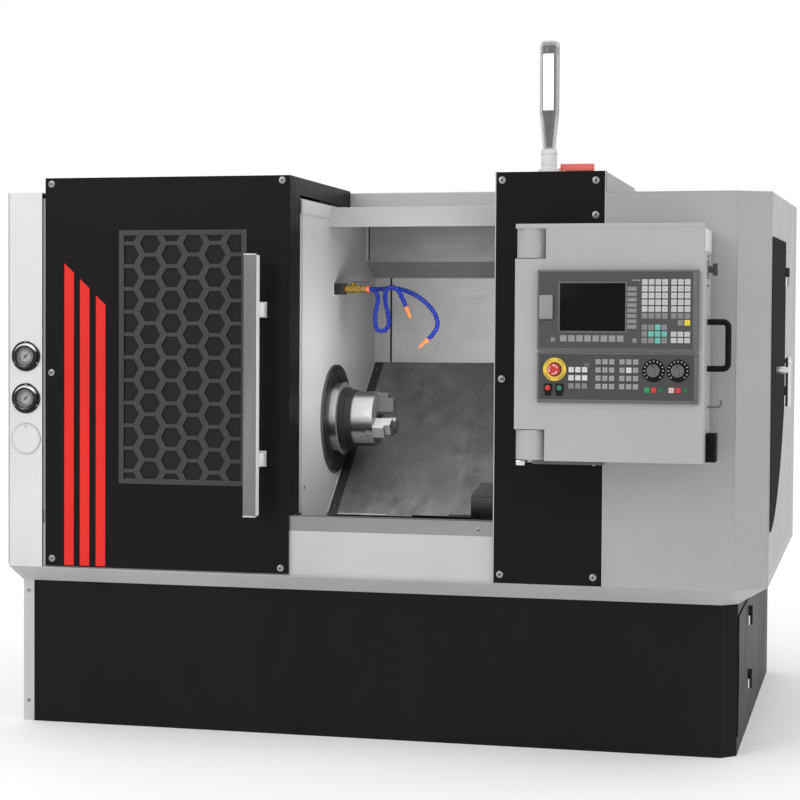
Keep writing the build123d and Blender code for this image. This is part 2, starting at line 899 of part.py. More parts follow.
# Headstock: foot on both ways, drawn up round the spindle bore, with a bearing cap each end
axis_s = (axis_y - slope_foot_y) * slope_cos + (axis_z - slope_foot_z) * slope_sin
axis_n = (axis_z - slope_foot_z) * slope_cos - (axis_y - slope_foot_y) * slope_sin
with BuildPart() as headstock_casting:
    with BuildSketch(slope_plane(head_left)):
        with Locations(((head_foot_low + head_foot_high) / 2, way_top + head_foot_thick / 2)):
            Rectangle(head_foot_high - head_foot_low, head_foot_thick)
        with Locations((axis_s, axis_n)):
            Circle(head_r)
        make_hull()
    extrude(amount=head_right - head_left)
    bar(
        side_plane(head_left - bearing_cap_thick, axis_y, axis_z),
        bearing_cap_r,
        head_right - head_left + 2 * bearing_cap_thick,
    )
    bar(
        side_plane(head_left - bearing_cap_thick, axis_y, axis_z),
        spindle_r + shaft_gap,
        head_right - head_left + 2 * bearing_cap_thick,
        mode=Mode.SUBTRACT,
    )
save(headstock_casting, "headstock_casting")

# Seal plate on the spindle wall
seal_front = opening_left + seal_thick
with BuildPart() as seal_plate:
    with BuildSketch(side_plane(opening_left, axis_y, axis_z)):
        Circle(seal_r)
        Circle(nose_r + seal_gap, mode=Mode.SUBTRACT)
    extrude(amount=seal_thick)
    chamfer(seal_plate.faces().sort_by(Axis.X)[-1].outer_wire().edges(), seal_chamfer)
save(seal_plate, "seal_plate")

# Spindle: shaft, drive pulley, nose, flange and chuck adapter on one bore
flange_left = seal_front + flange_gap
adapter_left = flange_left + flange_thick
chuck_left = adapter_left + adapter_thick
pulley_left = spindle_rear - pulley_width
with BuildPart() as spindle:
    spindle_end = side_plane(pulley_left, axis_y, axis_z)
    bar(spindle_end, spindle_r, flange_left - pulley_left)
    bar(spindle_end, spindle_pulley_r, pulley_width)
    for rim_x in (pulley_left, spindle_rear - pulley_rim):
        bar(side_plane(rim_x, axis_y, axis_z), spindle_pulley_r + belt_thick, pulley_rim)
    bar(side_plane(flange_left - flange_thick, axis_y, axis_z), nose_r, flange_thick)
    bar(side_plane(flange_left, axis_y, axis_z), flange_r, flange_thick)
    bar(side_plane(adapter_left, axis_y, axis_z), adapter_r, adapter_thick)
    bar(spindle_end, spindle_bore_r, chuck_left - pulley_left, mode=Mode.SUBTRACT)
save(spindle, "spindle")

# Chuck body: bored drum with a groove near its back and three radial slots
chuck_front = chuck_left + chuck_length
with BuildPart() as chuck_body:
    with BuildSketch(side_plane(chuck_left, axis_y, axis_z)):
        Circle(chuck_r)
        Circle(chuck_bore_r, mode=Mode.SUBTRACT)
    extrude(amount=chuck_length)
    with BuildSketch(side_plane(chuck_left + chuck_length / 4, axis_y, axis_z)):
        Circle(chuck_r)
        Circle(chuck_r - chuck_groove, mode=Mode.SUBTRACT)
    extrude(amount=chuck_groove, mode=Mode.SUBTRACT)
    with BuildSketch(side_plane(chuck_front - jaw_slot_depth, axis_y, axis_z)):
        with PolarLocations(chuck_r / 2 + chuck_bore_r / 2, jaw_count, start_angle=90):
            Rectangle(chuck_r, jaw_slot_width)
    extrude(amount=jaw_slot_depth, mode=Mode.SUBTRACT)
save(chuck_body, "chuck_body")

# Jaws: a tongue in the chuck's slot under a stepped soft jaw
jaw_step_x = chuck_front + running_gap + jaw_length - jaw_step
for jaw_index in range(jaw_count):
    jaw_angle = 90 + jaw_index * 360 / jaw_count
    with BuildPart() as jaw:
        with BuildSketch(side_plane(chuck_front - jaw_slot_depth + running_gap, axis_y, axis_z, jaw_angle)):
            with Locations(((jaw_inner + jaw_outer) / 2, 0)):
                Rectangle(jaw_outer - jaw_inner, jaw_slot_width - 2 * running_gap)
        extrude(amount=jaw_slot_depth)
        with BuildSketch(side_plane(chuck_front + running_gap, axis_y, axis_z, jaw_angle)):
            filled([
                (jaw_inner, 0),
                (jaw_inner + jaw_width / 4, jaw_width / 2),
                (jaw_outer, jaw_width / 2),
                (jaw_outer, -jaw_width / 2),
                (jaw_inner + jaw_width / 4, -jaw_width / 2),
            ])
        extrude(amount=jaw_length - jaw_step)
        with BuildSketch(side_plane(jaw_step_x, axis_y, axis_z, jaw_angle)):
            filled([
                (jaw_inner, 0),
                (jaw_inner + jaw_width / 4, jaw_width / 2),
                (jaw_outer - jaw_step, jaw_width / 2),
                (jaw_outer - jaw_step, -jaw_width / 2),
                (jaw_inner + jaw_width / 4, -jaw_width / 2),
            ])
        extrude(amount=jaw_step)
    save(jaw, f"jaw_{jaw_index + 1}")

# Spindle motor on a foot that stands on the slope
motor_s = (motor_y - slope_foot_y) * slope_cos + (motor_z - slope_foot_z) * slope_sin
motor_n = (motor_z - slope_foot_z) * slope_cos - (motor_y - slope_foot_y) * slope_sin
with BuildPart() as spindle_motor:
    bar(side_plane(motor_left, motor_y, motor_z), motor_r, motor_right - motor_left)
    bar(side_plane(motor_left - motor_boss, motor_y, motor_z), motor_boss_r, motor_boss)
    with BuildSketch(slope_plane(motor_left + motor_foot_inset)):
        with Locations((motor_s, (motor_n - bed_drop) / 2)):
            Rectangle(motor_foot, motor_n + bed_drop)
    extrude(amount=motor_right - motor_left - 2 * motor_foot_inset)
    bar(
        side_plane(motor_left - motor_boss, motor_y, motor_z),
        motor_shaft_r + shaft_gap,
        motor_shaft_in,
        mode=Mode.SUBTRACT,
    )
save(spindle_motor, "spindle_motor")

# Motor pulley with its shaft
with BuildPart() as motor_pulley:
    bar(side_plane(pulley_left, motor_y, motor_z), motor_pulley_r, pulley_width)
    for rim_x in (pulley_left, pulley_left + pulley_width - pulley_rim):
        bar(side_plane(rim_x, motor_y, motor_z), motor_pulley_r + belt_thick, pulley_rim)
    bar(
        side_plane(pulley_left, motor_y, motor_z),
        motor_shaft_r,
        motor_left - motor_boss + motor_shaft_in - running_gap - pulley_left,
    )
save(motor_pulley, "motor_pulley")

# Drive belt round both pulleys
with BuildPart() as drive_belt:
    for belt_offset, belt_mode in ((running_gap + belt_thick, Mode.ADD), (running_gap, Mode.SUBTRACT)):
        with BuildSketch(side_plane(pulley_left + pulley_rim + belt_side / 2)):
            with Locations((axis_y, axis_z)):
                Circle(spindle_pulley_r + belt_offset)
            with Locations((motor_y, motor_z)):
                Circle(motor_pulley_r + belt_offset)
            make_hull()
        extrude(amount=pulley_width - 2 * pulley_rim - belt_side, mode=belt_mode)
save(drive_belt, "drive_belt")

# Telescopic way cover: a fixed sheet by the spindle wall and a ribbed one at the far end
mid_length = (saddle_left - opening_left + carriage_right_travel + 2 * cover_lap) / 3
fixed_cover_right = opening_left + mid_length
with BuildPart() as way_cover_fixed:
    for cover_left_x, cover_right_x in (
        (opening_left, fixed_cover_right),
        (saddle_right + carriage_right_travel + 2 * sheet, liner_right),
    ):
        with BuildSketch(slope_plane(cover_left_x)):
            with Locations((slope_length / 2, cover_sheet / 2)):
                Rectangle(slope_length - 2 * cover_sheet, cover_sheet)
        extrude(amount=cover_right_x - cover_left_x)
    with BuildSketch(slope_plane(cover_left_x)):
        for rib_s in cover_rib_s:
            with Locations((rib_s, -bed_drop / 2)):
                Rectangle(cover_rib, bed_drop)
    extrude(amount=cover_right_x - cover_left_x)
save(way_cover_fixed, "way_cover_fixed")

# Middle sheet of the way cover, which moves at half the carriage's rate
mid_left = fixed_cover_right - cover_lap - carriage_right_travel / 2
with BuildPart() as way_cover_mid:
    with BuildSketch(slope_plane(mid_left)):
        with Locations((slope_length / 2, cover_step + cover_sheet / 2)):
            Rectangle(slope_length - 4 * cover_step, cover_sheet)
    extrude(amount=mid_length)
save(way_cover_mid, "way_cover_mid")

# Carriage: saddle on the ways, top plate, its own cover sheet and the apron at the front
moving_left = mid_left + mid_length - cover_lap - carriage_right_travel / 2
with BuildPart() as carriage:
    with BuildSketch(slope_plane(saddle_left)):
        with Locations(((saddle_low_s + saddle_high_s) / 2, (way_top + running_gap + saddle_top) / 2)):
            Rectangle(saddle_high_s - saddle_low_s, saddle_top - way_top - running_gap)
        with Locations(((saddle_low_s + saddle_plate_s) / 2, saddle_top - saddle_plate_thick / 2)):
            Rectangle(saddle_plate_s - saddle_low_s, saddle_plate_thick)
    extrude(amount=saddle_right - saddle_left)
    with BuildSketch(slope_plane(moving_left)):
        with Locations((slope_length / 2, 2 * cover_step + cover_sheet / 2)):
            Rectangle(slope_length - 6 * cover_step, cover_sheet)
    extrude(amount=saddle_left - moving_left)
    with BuildSketch(side_plane(apron_left)):
        filled([
            (apron_front, apron_low),
            (slope_foot_y, apron_low),
            on_slope(apron_foot_s, 2 * cover_step),
            on_slope(apron_heel_s, 2 * cover_step),
            (apron_top_rear, apron_top),
            (apron_front, apron_top),
        ])
    extrude(amount=saddle_right - apron_left)
save(carriage, "carriage")

# Cross slide with the turret's housing
turret_n = axis_n
with BuildPart() as cross_slide:
    with BuildSketch(slope_plane(slide_left)):
        with Locations(((slide_low_s + slide_high_s) / 2, saddle_top + running_gap + slide_height / 2)):
            Rectangle(slide_high_s - slide_low_s, slide_height)
    extrude(amount=slide_right - slide_left)
    with BuildSketch(slope_plane(turret_left + turret_thick + running_gap)):
        with Locations((turret_s, saddle_top + slide_height)):
            Rectangle(2 * turret_head_r, slide_height / 2)
        with Locations((turret_s, turret_n)):
            Circle(turret_head_r)
        make_hull()
    extrude(amount=saddle_right - turret_left - turret_thick)
    with BuildSketch(slope_plane(turret_left + turret_thick / 2)):
        with Locations((turret_s, turret_n)):
            Circle(motor_shaft_r)
    extrude(amount=turret_thick / 2 + running_gap)
save(cross_slide, "cross_slide")

# Turret disc: one flat for each station, with a tool holder and a square tool on each
station_angle = 360 / turret_stations
with BuildPart() as turret_disc:
    with BuildSketch(slope_plane(turret_left)):
        with Locations((turret_s, turret_n)):
            RegularPolygon(turret_r, turret_stations, rotation=station_angle / 2)
    extrude(amount=turret_thick)
    with BuildSketch(slope_plane(turret_left + turret_thick / 2 - running_gap)):
        with Locations((turret_s, turret_n)):
            Circle(motor_shaft_r + shaft_gap)
    extrude(amount=turret_thick, mode=Mode.SUBTRACT)
    with BuildSketch(slope_plane(turret_left - holder_depth)):
        with Locations((turret_s, turret_n)):
            with PolarLocations(turret_r - holder_height / 2 - holder_inset, turret_stations):
                Rectangle(holder_height, holder_width)
    extrude(amount=holder_depth)
    with BuildSketch(slope_plane(turret_left - holder_depth + tool_seat)):
        with Locations((turret_s, turret_n)):
            with PolarLocations((turret_r - holder_height + tool_reach) / 2, turret_stations):
                Rectangle(tool_reach - turret_r + holder_height, tool_size)
    extrude(amount=tool_size)
save(turret_disc, "turret_disc")

# Sliding door: front sheet with a window, right-hand return, roof and roof flange
door_right = opening_left
with BuildPart() as door_panel:
    with BuildSketch(face_plane(sheet)):
        with Locations(((door_left + door_right) / 2, (door_bottom + panel_top) / 2)):
            Rectangle(door_right - door_left, panel_top - door_bottom)
        with Locations(((window_left + window_right) / 2, (window_bottom + window_top) / 2)):
            Rectangle(
                window_right - window_left - 2 * window_lap,
                window_top - window_bottom - 2 * window_lap,
                mode=Mode.SUBTRACT,
            )
    extrude(amount=sheet)
    box((door_right - sheet, door_right), (0, door_return), (sill_top + door_over_sill, panel_top))
    box((door_left, door_right), (0, door_roof_depth), (panel_top - sheet, panel_top))
    box(
        (door_right - sheet, door_right),
        (0, door_roof_depth),
        (panel_top - door_flange_height, panel_top),
    )
    box(
        (door_left, door_right),
        (runner_y, runner_y + runner_width),
        (headstock_cover_top + running_gap, panel_top),
    )
    box(
        (door_left, door_right),
        (0, fixed_front - running_gap),
        (sill_top + door_over_sill, sill_top + door_over_sill + felt_height),
    )
save(door_panel, "door_panel")

# Door grille: framed sheet with hexagonal openings in staggered columns
grille_mid_x = (window_left + window_right) / 2
grille_mid_z = (window_bottom + window_top) / 2
with BuildPart() as door_grille:
    with BuildSketch(face_plane(0)) as grille_sketch:
        with Locations((grille_mid_x, grille_mid_z)):
            Rectangle(window_right - window_left, window_top - window_bottom)
    extrude(amount=grille_thick)
    with BuildSketch(face_plane(0)):
        for column in range(hex_columns):
            column_x = grille_mid_x + (column - (hex_columns - 1) / 2) * hex_step
            rows = hex_rows if column % 2 else hex_rows + 1
            with Locations((column_x, grille_mid_z)):
                with GridLocations(0, hex_rise, 1, rows):
                    RegularPolygon(hex_flats / 2, 6, major_radius=False)
        with Locations((grille_mid_x, grille_mid_z)):
            Rectangle(
                window_right - window_left - 2 * grille_border,
                window_top - window_bottom - 2 * grille_border,
                mode=Mode.INTERSECT,
            )
    extrude(amount=grille_thick, mode=Mode.SUBTRACT)
save(door_grille, "door_grille")

# Window pane behind the door sheet
with BuildPart() as door_window:
    box((window_left, window_right), (sheet, sheet + pane_thick), (window_bottom, window_top))
save(door_window, "door_window")

# Door handle: square bar on two standoffs
with BuildPart() as door_handle:
    box(
        (handle_left, handle_left + handle_width),
        (-handle_reach, handle_thick - handle_reach),
        (handle_bottom, handle_top),
    )
    chamfer(door_handle.edges().filter_by(Axis.Z), handle_chamfer)
    for standoff_z in (standoff_low, standoff_high):
        box(
            (handle_left + standoff_inset, handle_left + handle_width),
            (handle_thick - handle_reach, 0),
            (standoff_z - standoff_height / 2, standoff_z + standoff_height / 2),
        )
save(door_handle, "door_handle")

# Coolant valve: block on the spindle wall, ball valve and outlet collar
valve_mid_x = (opening_left + valve_block + valve_ball_end) / 2
with BuildPart() as coolant_valve:
    box(
        (opening_left, opening_left + valve_block),
        (valve_y - valve_block / 2, valve_y + valve_block / 2),
        (valve_z - valve_block / 2, valve_z + valve_block / 2),
    )
    bar(side_plane(opening_left, valve_y, valve_z), valve_ball_r, valve_ball_end - opening_left)
    box(
        (valve_ball_end - manifold_width, valve_ball_end),
        (valve_y - collar_r, valve_y + outlet_pitch + collar_r),
        (valve_z - collar_r, valve_z + collar_r),
    )
    for outlet_y in (valve_y, valve_y + outlet_pitch):
        bar(side_plane(valve_ball_end, outlet_y, valve_z), collar_r, collar_end - valve_ball_end)
    bar(
        Plane((valve_mid_x, behind(valve_y), valve_z)),
        valve_ball_r / 2,
        valve_lever_z - running_gap - valve_z,
    )
save(coolant_valve, "coolant_valve")

# Coolant valve lever, flat along the outlet when open
with BuildPart() as coolant_valve_lever:
    with BuildSketch(Plane((valve_mid_x, behind(valve_y), valve_lever_z))):
        with Locations((valve_lever_length / 2, 0)):
            SlotOverall(valve_lever_length + valve_ball_r, valve_lever_width)
        Circle(valve_ball_r / 2)
    extrude(amount=valve_lever_thick)
save(coolant_valve_lever, "coolant_valve_lever")

# Coolant hoses: their routes in (x, y, z) from their outlets on the valve
hose_routes = {
    "coolant_hose_1": [
        (0, 0, 0),
        (26, 0, 0),
        (42, -9, -28),
        (34, -16, -64),
        (32, -21, -96),
        (39, -23, -126),
        (69, -22, -127),
        (77, -17, -96),
        (68, -12, -62),
        (60, -8, -30),
        (62, -5, 4),
        (94, -3, 6),
        (112, -4, -24),
        (125, -5, -54),
    ],
    "coolant_hose_2": [
        (0, 0, 0),
        (40, 0, 0),
        (86, -2, 4),
        (132, -6, -8),
        (176, -11, -34),
        (214, -18, -72),
        (226, -25, -120),
        (194, -29, -150),
    ],
}


def corner_radii(points):
    """Largest arcs that the runs beside each corner leave room for."""
    radii = []
    for before, corner, after in zip(points, points[1:], points[2:]):
        first = Vector(*corner) - Vector(*before)
        second = Vector(*after) - Vector(*corner)
        half_turn = radians(first.get_angle(second)) / 2
        radii.append(0.45 * min(first.length, second.length) / tan(half_turn))
    return radii


for hose_index, (hose_name, hose_points) in enumerate(hose_routes.items()):
    outlet_y = behind(valve_y + hose_index * outlet_pitch)
    route_points = [(collar_end + x, outlet_y + y, valve_z + z) for x, y, z in hose_points]
    hose_radii = corner_radii(route_points)
    print(hose_name, "radii", [round(radius, 1) for radius in hose_radii])
    with BuildPart() as hose:
        with BuildLine() as hose_line:
            FilletPolyline(*route_points, radius=hose_radii)
        with BuildSketch(Plane(route_points[0], z_dir=Vector(*route_points[1]) - Vector(*route_points[0]))):
            Circle(hose_d / 2)
        sweep(transition=Transition.ROUND)
    hose_length = hose_line.wires()[0].length
    print(hose_name, "length", round(hose_length, 1), "volume ratio",
          round(hose.part.volume / (hose_length * pi * hose_d**2 / 4), 4))
    save(hose, hose_name)
    nozzle_axis = (Vector(*route_points[-1]) - Vector(*route_points[-2])).normalized()
    with BuildPart() as nozzle:
        with BuildSketch(Plane(route_points[-1], z_dir=nozzle_axis)):
            Circle(hose_d / 2)
        with BuildSketch(Plane(Vector(*route_points[-1]) + nozzle_axis * nozzle_length, z_dir=nozzle_axis)):
            Circle(nozzle_tip_r)
        loft()
    save(nozzle, f"nozzle_{hose_index + 1}")

# Signal lamp: foot, cylinder and taper
standing = (Align.CENTER, Align.CENTER, Align.MIN)
with BuildPart(Plane((lamp_x, behind(lamp_y), panel_top))) as lamp_base:
    Cylinder(lamp_foot_r, lamp_foot_height, align=standing)
    Cylinder(lamp_base_r, lamp_base_top - panel_top, align=standing)
save(lamp_base, "lamp_base")

# Lamp tube: clear taper, tube and domed cap
with BuildPart(Plane((lamp_x, behind(lamp_y), lamp_base_top))) as lamp_tube:
    Cone(lamp_taper_r, lamp_tube_r, lamp_taper_top - lamp_base_top, align=standing)
    with Locations((0, 0, lamp_taper_top - lamp_base_top)):
        Cylinder(lamp_tube_r, lamp_cap_top - lamp_taper_top, align=standing)
    fillet(lamp_tube.faces().sort_by(Axis.Z)[-1].edges(), lamp_cap_top - lamp_tube_top)
save(lamp_tube, "lamp_tube")

# Roof valve: hexagon union, body and stem
roof_valve_seat = Plane((roof_valve_x, behind(roof_valve_y), panel_top))
with BuildPart() as roof_valve:
    with BuildSketch(roof_valve_seat):
        RegularPolygon(roof_valve_r * 1.6, 6)
    extrude(amount=roof_valve_hex)
    bar(roof_valve_seat, roof_valve_r, roof_valve_top - panel_top - running_gap)
save(roof_valve, "roof_valve")

# Roof valve lever: flat bar with a cranked end
with BuildPart() as roof_valve_lever:
    with BuildSketch(Plane((roof_valve_x, behind(roof_valve_y), roof_valve_top))):
        with Locations((roof_lever_length / 2 - roof_lever_width, 0)):
            SlotOverall(roof_lever_length, roof_lever_width)
    extrude(amount=roof_lever_thick)
save(roof_valve_lever, "roof_valve_lever")

# Pendant mount: plate on the fascia with an arm and a bored knuckle at each end
knuckle_spans = (
    (pendant_low + knuckle_gap, pendant_low + knuckle),
    (pendant_top - knuckle, pendant_top - knuckle_gap),
)
with BuildPart() as pendant_mount:
    box((pendant_left, fascia_right), (-mount_thick, 0), (mount_low, mount_top))
    for span_low, span_high in knuckle_spans:
        box((pivot_x - arm_width / 2, pivot_x + arm_width / 2), (pivot_y, 0), (span_low, span_high))
        bar(Plane((pivot_x, behind(pivot_y), span_low)), knuckle / 2, span_high - span_low)
        bar(
            Plane((pivot_x, behind(pivot_y), span_low)),
            pivot_pin_r + shaft_gap,
            span_high - span_low,
            mode=Mode.SUBTRACT,
        )
save(pendant_mount, "pendant_mount")

# Pendant box: rounded housing, notched at its left corners round two pivot pins,
# with the handwheel holder on its right side
notch = knuckle / 2 + knuckle_gap
notch_top = pendant_top - knuckle - knuckle_gap
with BuildPart() as pendant_box:
    box((pendant_left, pendant_right), (pendant_front, pendant_back), (pendant_low, pendant_top))
    fillet(pendant_box.edges().filter_by(Axis.Z), pendant_fillet)
    for hollow_left, hollow_inset in ((pivot_x + notch, 0), (pendant_left, knuckle + knuckle_gap)):
        box(
            (hollow_left + thick_sheet, pendant_right - thick_sheet),
            (pendant_front + 2 * thick_sheet, pendant_back - thick_sheet),
            (pendant_low + hollow_inset + thick_sheet, pendant_top - hollow_inset - thick_sheet),
            mode=Mode.SUBTRACT,
        )
    for notch_low in (pendant_low, notch_top):
        box(
            (pendant_left, pivot_x + notch),
            (pendant_front, pendant_back),
            (notch_low, notch_low + knuckle + knuckle_gap),
            mode=Mode.SUBTRACT,
        )
    for pin_low in (pendant_low + knuckle + knuckle_gap - pivot_pin_length, notch_top):
        bar(Plane((pivot_x, behind(pivot_y), pin_low)), pivot_pin_r, pivot_pin_length)
    box(
        (unit_left + sheet, unit_right - sheet),
        (pendant_front, pendant_front + sheet),
        (switches_low + sheet, switches_top - sheet),
        mode=Mode.SUBTRACT,
    )
    for reach, half_width, holder_end in (
        (sheet, holder_strip_width / 2, holder_strip_top),
        (holder_box, holder_width_y / 2, holder_top),
    ):
        box(
            (pendant_right, pendant_right + reach),
            (holder_y - half_width, holder_y + half_width),
            (holder_low, holder_end),
        )
    bar(
        side_plane(pendant_right - latch_stem - running_gap, latch_y, latch_z),
        latch_stem_r + shaft_gap,
        latch_stem + 2 * running_gap,
        mode=Mode.SUBTRACT,
    )
save(pendant_box, "pendant_box")

# Display unit: framed panel with a sunk screen, soft keys, key blocks and a port flap
display_face = pendant_front - display_proud


def keys(x_left, z_top, columns, rows, pitch=(key_pitch, key_pitch), size=(key_size, key_size)):
    """Block of flat keys in the sketch being built, from its top left key's middle."""
    with Locations((x_left + (columns - 1) * pitch[0] / 2, z_top - (rows - 1) * pitch[1] / 2)):
        with GridLocations(pitch[0], pitch[1], columns, rows):
            Rectangle(*size)


with BuildPart() as display_unit:
    box((unit_left, unit_right), (display_face, pendant_front), (display_low, display_top))
    chamfer(display_unit.faces().sort_by(Axis.Y)[0].edges(), 2)
    box(
        (screen[0], screen[1]),
        (display_face, display_face + screen_depth),
        (screen[2], screen[3]),
        mode=Mode.SUBTRACT,
    )
    with BuildSketch(face_plane(display_face)):
        keys(unit_left + 280.0, display_low + 176.0, 4, 5)
        keys(unit_left + 355.0, display_low + 176.0, 3, 6)
        keys(unit_left + 280.0, display_low + 59.5, 4, 3)
        keys(unit_left + 372.4, display_low + 71.5, 2, 1)
        keys(unit_left + 355.0, display_low + 42.0, 3, 2)
        keys(unit_left + 247.5, display_low + 158.5, 1, 8, pitch=(key_pitch, 14.0), size=(22.0, 11.0))
        keys(unit_left + 69.4, display_low + 29.5, 8, 1, pitch=(21.2, key_pitch), size=(17.0, 19.0))
        keys(unit_left + 42.0, display_low + 26.5, 1, 1)
        keys(unit_left + 255.0, display_low + 25.0, 1, 1)
    extrude(amount=key_high)
    box(
        (port_flap[0], port_flap[1]),
        (display_face - port_flap_proud, display_face),
        (port_flap[2], port_flap[3]),
    )
save(display_unit, "display_unit")

# Switch panel: keys, dial plates, button sockets and the emergency stop's collar
switch_face = pendant_front - switches_proud
with BuildPart() as switch_panel:
    box((unit_left, unit_right), (switch_face, pendant_front), (switches_low, switches_top))
    chamfer(switch_panel.faces().sort_by(Axis.Y)[0].edges(), 1.5)
    with BuildSketch(face_plane(switch_face)):
        keys(unit_left + 90.0, switches_low + 86.0, 3, 3, pitch=switch_pitch)
        keys(unit_left + 158.9, switches_low + 107.0, 3, 4, pitch=switch_pitch)
        keys(unit_left + 221.0, switches_low + 107.0, 3, 4, pitch=switch_pitch)
        keys(unit_left + 287.3, switches_low + 35.0, 3, 1, pitch=switch_pitch)
        keys(unit_left + 349.9, switches_low + 35.0, 3, 1, pitch=switch_pitch)
        for knob_x in (feed_knob_x, speed_knob_x):
            with Locations((knob_x, knob_z)):
                Circle(dial_plate_r)
    extrude(amount=key_high)
    bar(face_plane(switch_face, estop_x, estop_z), estop_collar_r, estop_collar_thick)
    bar(
        face_plane(pendant_front, estop_x, estop_z),
        estop_stem_r + shaft_gap,
        switches_proud + estop_collar_thick,
        mode=Mode.SUBTRACT,
    )
    for push_x in (stop_x, start_x):
        bar(face_plane(pendant_front, push_x, push_z), push_r + shaft_gap, switches_proud, mode=Mode.SUBTRACT)
    for knob_x in (feed_knob_x, speed_knob_x):
        bar(
            face_plane(switch_face + knob_shaft, knob_x, knob_z),
            knob_shaft_r + shaft_gap,
            knob_shaft + dial_plate_thick,
            mode=Mode.SUBTRACT,
        )
save(switch_panel, "switch_panel")

# Emergency stop: mushroom head on a stem
head_back = switch_face - estop_collar_thick - estop_travel - running_gap
with BuildPart() as estop_button:
    bar(face_plane(head_back, estop_x, estop_z), estop_r, estop_height - estop_travel)
    fillet(estop_button.faces().sort_by(Axis.Y)[0].edges(), 6)
    bar(
        face_plane(pendant_front - estop_travel - running_gap, estop_x, estop_z),
        estop_stem_r,
        switches_proud + estop_collar_thick + 1,
    )
save(estop_button, "estop_button")

# Stop and start buttons
for push_x, push_name in ((stop_x, "stop_button"), (start_x, "start_button")):
    with BuildPart() as push_button:
        bar(
            face_plane(pendant_front - push_travel - running_gap, push_x, push_z),
            push_r,
            switches_proud + push_height - push_travel,
        )
        fillet(push_button.faces().sort_by(Axis.Y)[0].edges(), 1)
    save(push_button, push_name)

# Override knobs: fluted skirt with a pointer ridge, on a shaft in the panel
for knob_x, knob_name in ((feed_knob_x, "feed_knob"), (speed_knob_x, "speed_knob")):
    knob_back = switch_face - dial_plate_thick - running_gap
    with BuildPart() as knob:
        with BuildSketch(face_plane(knob_back, knob_x, knob_z)):
            Circle(knob_r)
            with PolarLocations(knob_r + 1, knob_flutes):
                Circle(knob_flute_r, mode=Mode.SUBTRACT)
        extrude(amount=knob_height)
        with BuildSketch(face_plane(knob_back - knob_height, knob_x, knob_z)):
            SlotOverall(2 * knob_r - knob_ridge, knob_ridge, rotation=90)
        extrude(amount=knob_ridge / 2)
        bar(
            face_plane(switch_face + knob_shaft - running_gap, knob_x, knob_z),
            knob_shaft_r,
            knob_shaft + dial_plate_thick,
        )
    save(knob, knob_name)

# Pendant handle: round bail with mitred elbows on the right side
with BuildPart() as pendant_handle:
    with BuildLine() as bail_line:
        FilletPolyline(
            (pendant_right, behind(bail_y), bail_low + bail_r),
            (pendant_right + bail_reach, behind(bail_y), bail_low + bail_r),
            (pendant_right + bail_reach, behind(bail_y), bail_high - bail_r),
            (pendant_right, behind(bail_y), bail_high - bail_r),
            radius=bail_bend,
        )
    with BuildSketch(Plane((pendant_right, behind(bail_y), bail_low + bail_r), z_dir=(1, 0, 0))):
        Circle(bail_r)
    sweep()
save(pendant_handle, "pendant_handle")

# Cam latch: stem in the box, drum and wing
with BuildPart() as pendant_latch:
    bar(side_plane(pendant_right + running_gap, latch_y, latch_z), latch_r, latch_height)
    bar(side_plane(pendant_right - latch_stem, latch_y, latch_z), latch_stem_r, latch_stem + running_gap)
    with BuildSketch(side_plane(pendant_right + latch_height + running_gap, latch_y, latch_z)):
        SlotOverall(latch_wing * 2, latch_r, rotation=90)
    extrude(amount=latch_height)
save(pendant_latch, "pendant_latch")
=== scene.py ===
"""Finish and trim of a slant-bed turning lathe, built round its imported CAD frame.

Metres, in the CAD's frame: X to the right, Y to the back, Z up, from the floor under the
casing's middle. Places that are read off the machine are in millimetres, as (x, depth behind
the front panels, z), and `place` turns them into the frame.
"""

import json
from math import atan2, cos, pi, radians, sin, tau

import bmesh
import bpy
from bpy.props import FloatProperty, FloatVectorProperty, IntProperty, PointerProperty
from mathutils import Matrix, Vector

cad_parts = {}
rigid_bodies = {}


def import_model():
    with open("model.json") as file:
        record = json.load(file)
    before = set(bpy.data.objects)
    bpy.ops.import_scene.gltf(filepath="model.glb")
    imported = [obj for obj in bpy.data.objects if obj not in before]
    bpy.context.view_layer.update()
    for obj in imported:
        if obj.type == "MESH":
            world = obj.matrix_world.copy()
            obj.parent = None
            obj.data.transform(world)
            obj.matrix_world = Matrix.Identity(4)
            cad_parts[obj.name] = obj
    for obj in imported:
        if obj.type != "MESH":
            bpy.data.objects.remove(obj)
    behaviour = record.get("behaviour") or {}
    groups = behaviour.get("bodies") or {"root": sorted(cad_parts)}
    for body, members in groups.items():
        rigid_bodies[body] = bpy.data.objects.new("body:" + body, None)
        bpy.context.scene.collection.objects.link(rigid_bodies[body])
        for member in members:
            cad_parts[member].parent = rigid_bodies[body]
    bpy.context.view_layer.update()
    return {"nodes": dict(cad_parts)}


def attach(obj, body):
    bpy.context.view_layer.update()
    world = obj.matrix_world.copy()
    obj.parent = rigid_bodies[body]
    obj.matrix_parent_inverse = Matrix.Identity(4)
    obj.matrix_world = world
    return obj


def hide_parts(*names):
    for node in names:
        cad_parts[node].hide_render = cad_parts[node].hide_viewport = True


bl_info = {
    "name": "Turning lathe finish",
    "version": (1, 0, 0),
    "blender": (4, 5, 0),
    "location": "View3D > Sidebar > Lathe",
    "description": "Dresses the packed lathe with its finishes, trim, hoses and controls",
    "category": "Object",
}

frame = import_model()

MM = 0.001
FRONT_Y = -0.8
TO_FRONT = Vector((0, -1, 0))
TO_RIGHT = Vector((1, 0, 0))
UP = Vector((0, 0, 1))


def place(x, depth, z):
    """Point in the frame of a place in millimetres, its depth counted from the front panels."""
    return Vector((x * MM, FRONT_Y + depth * MM, z * MM))


def on_axis(x):
    """Point on the spindle's axis."""
    return place(x, 481, 888)


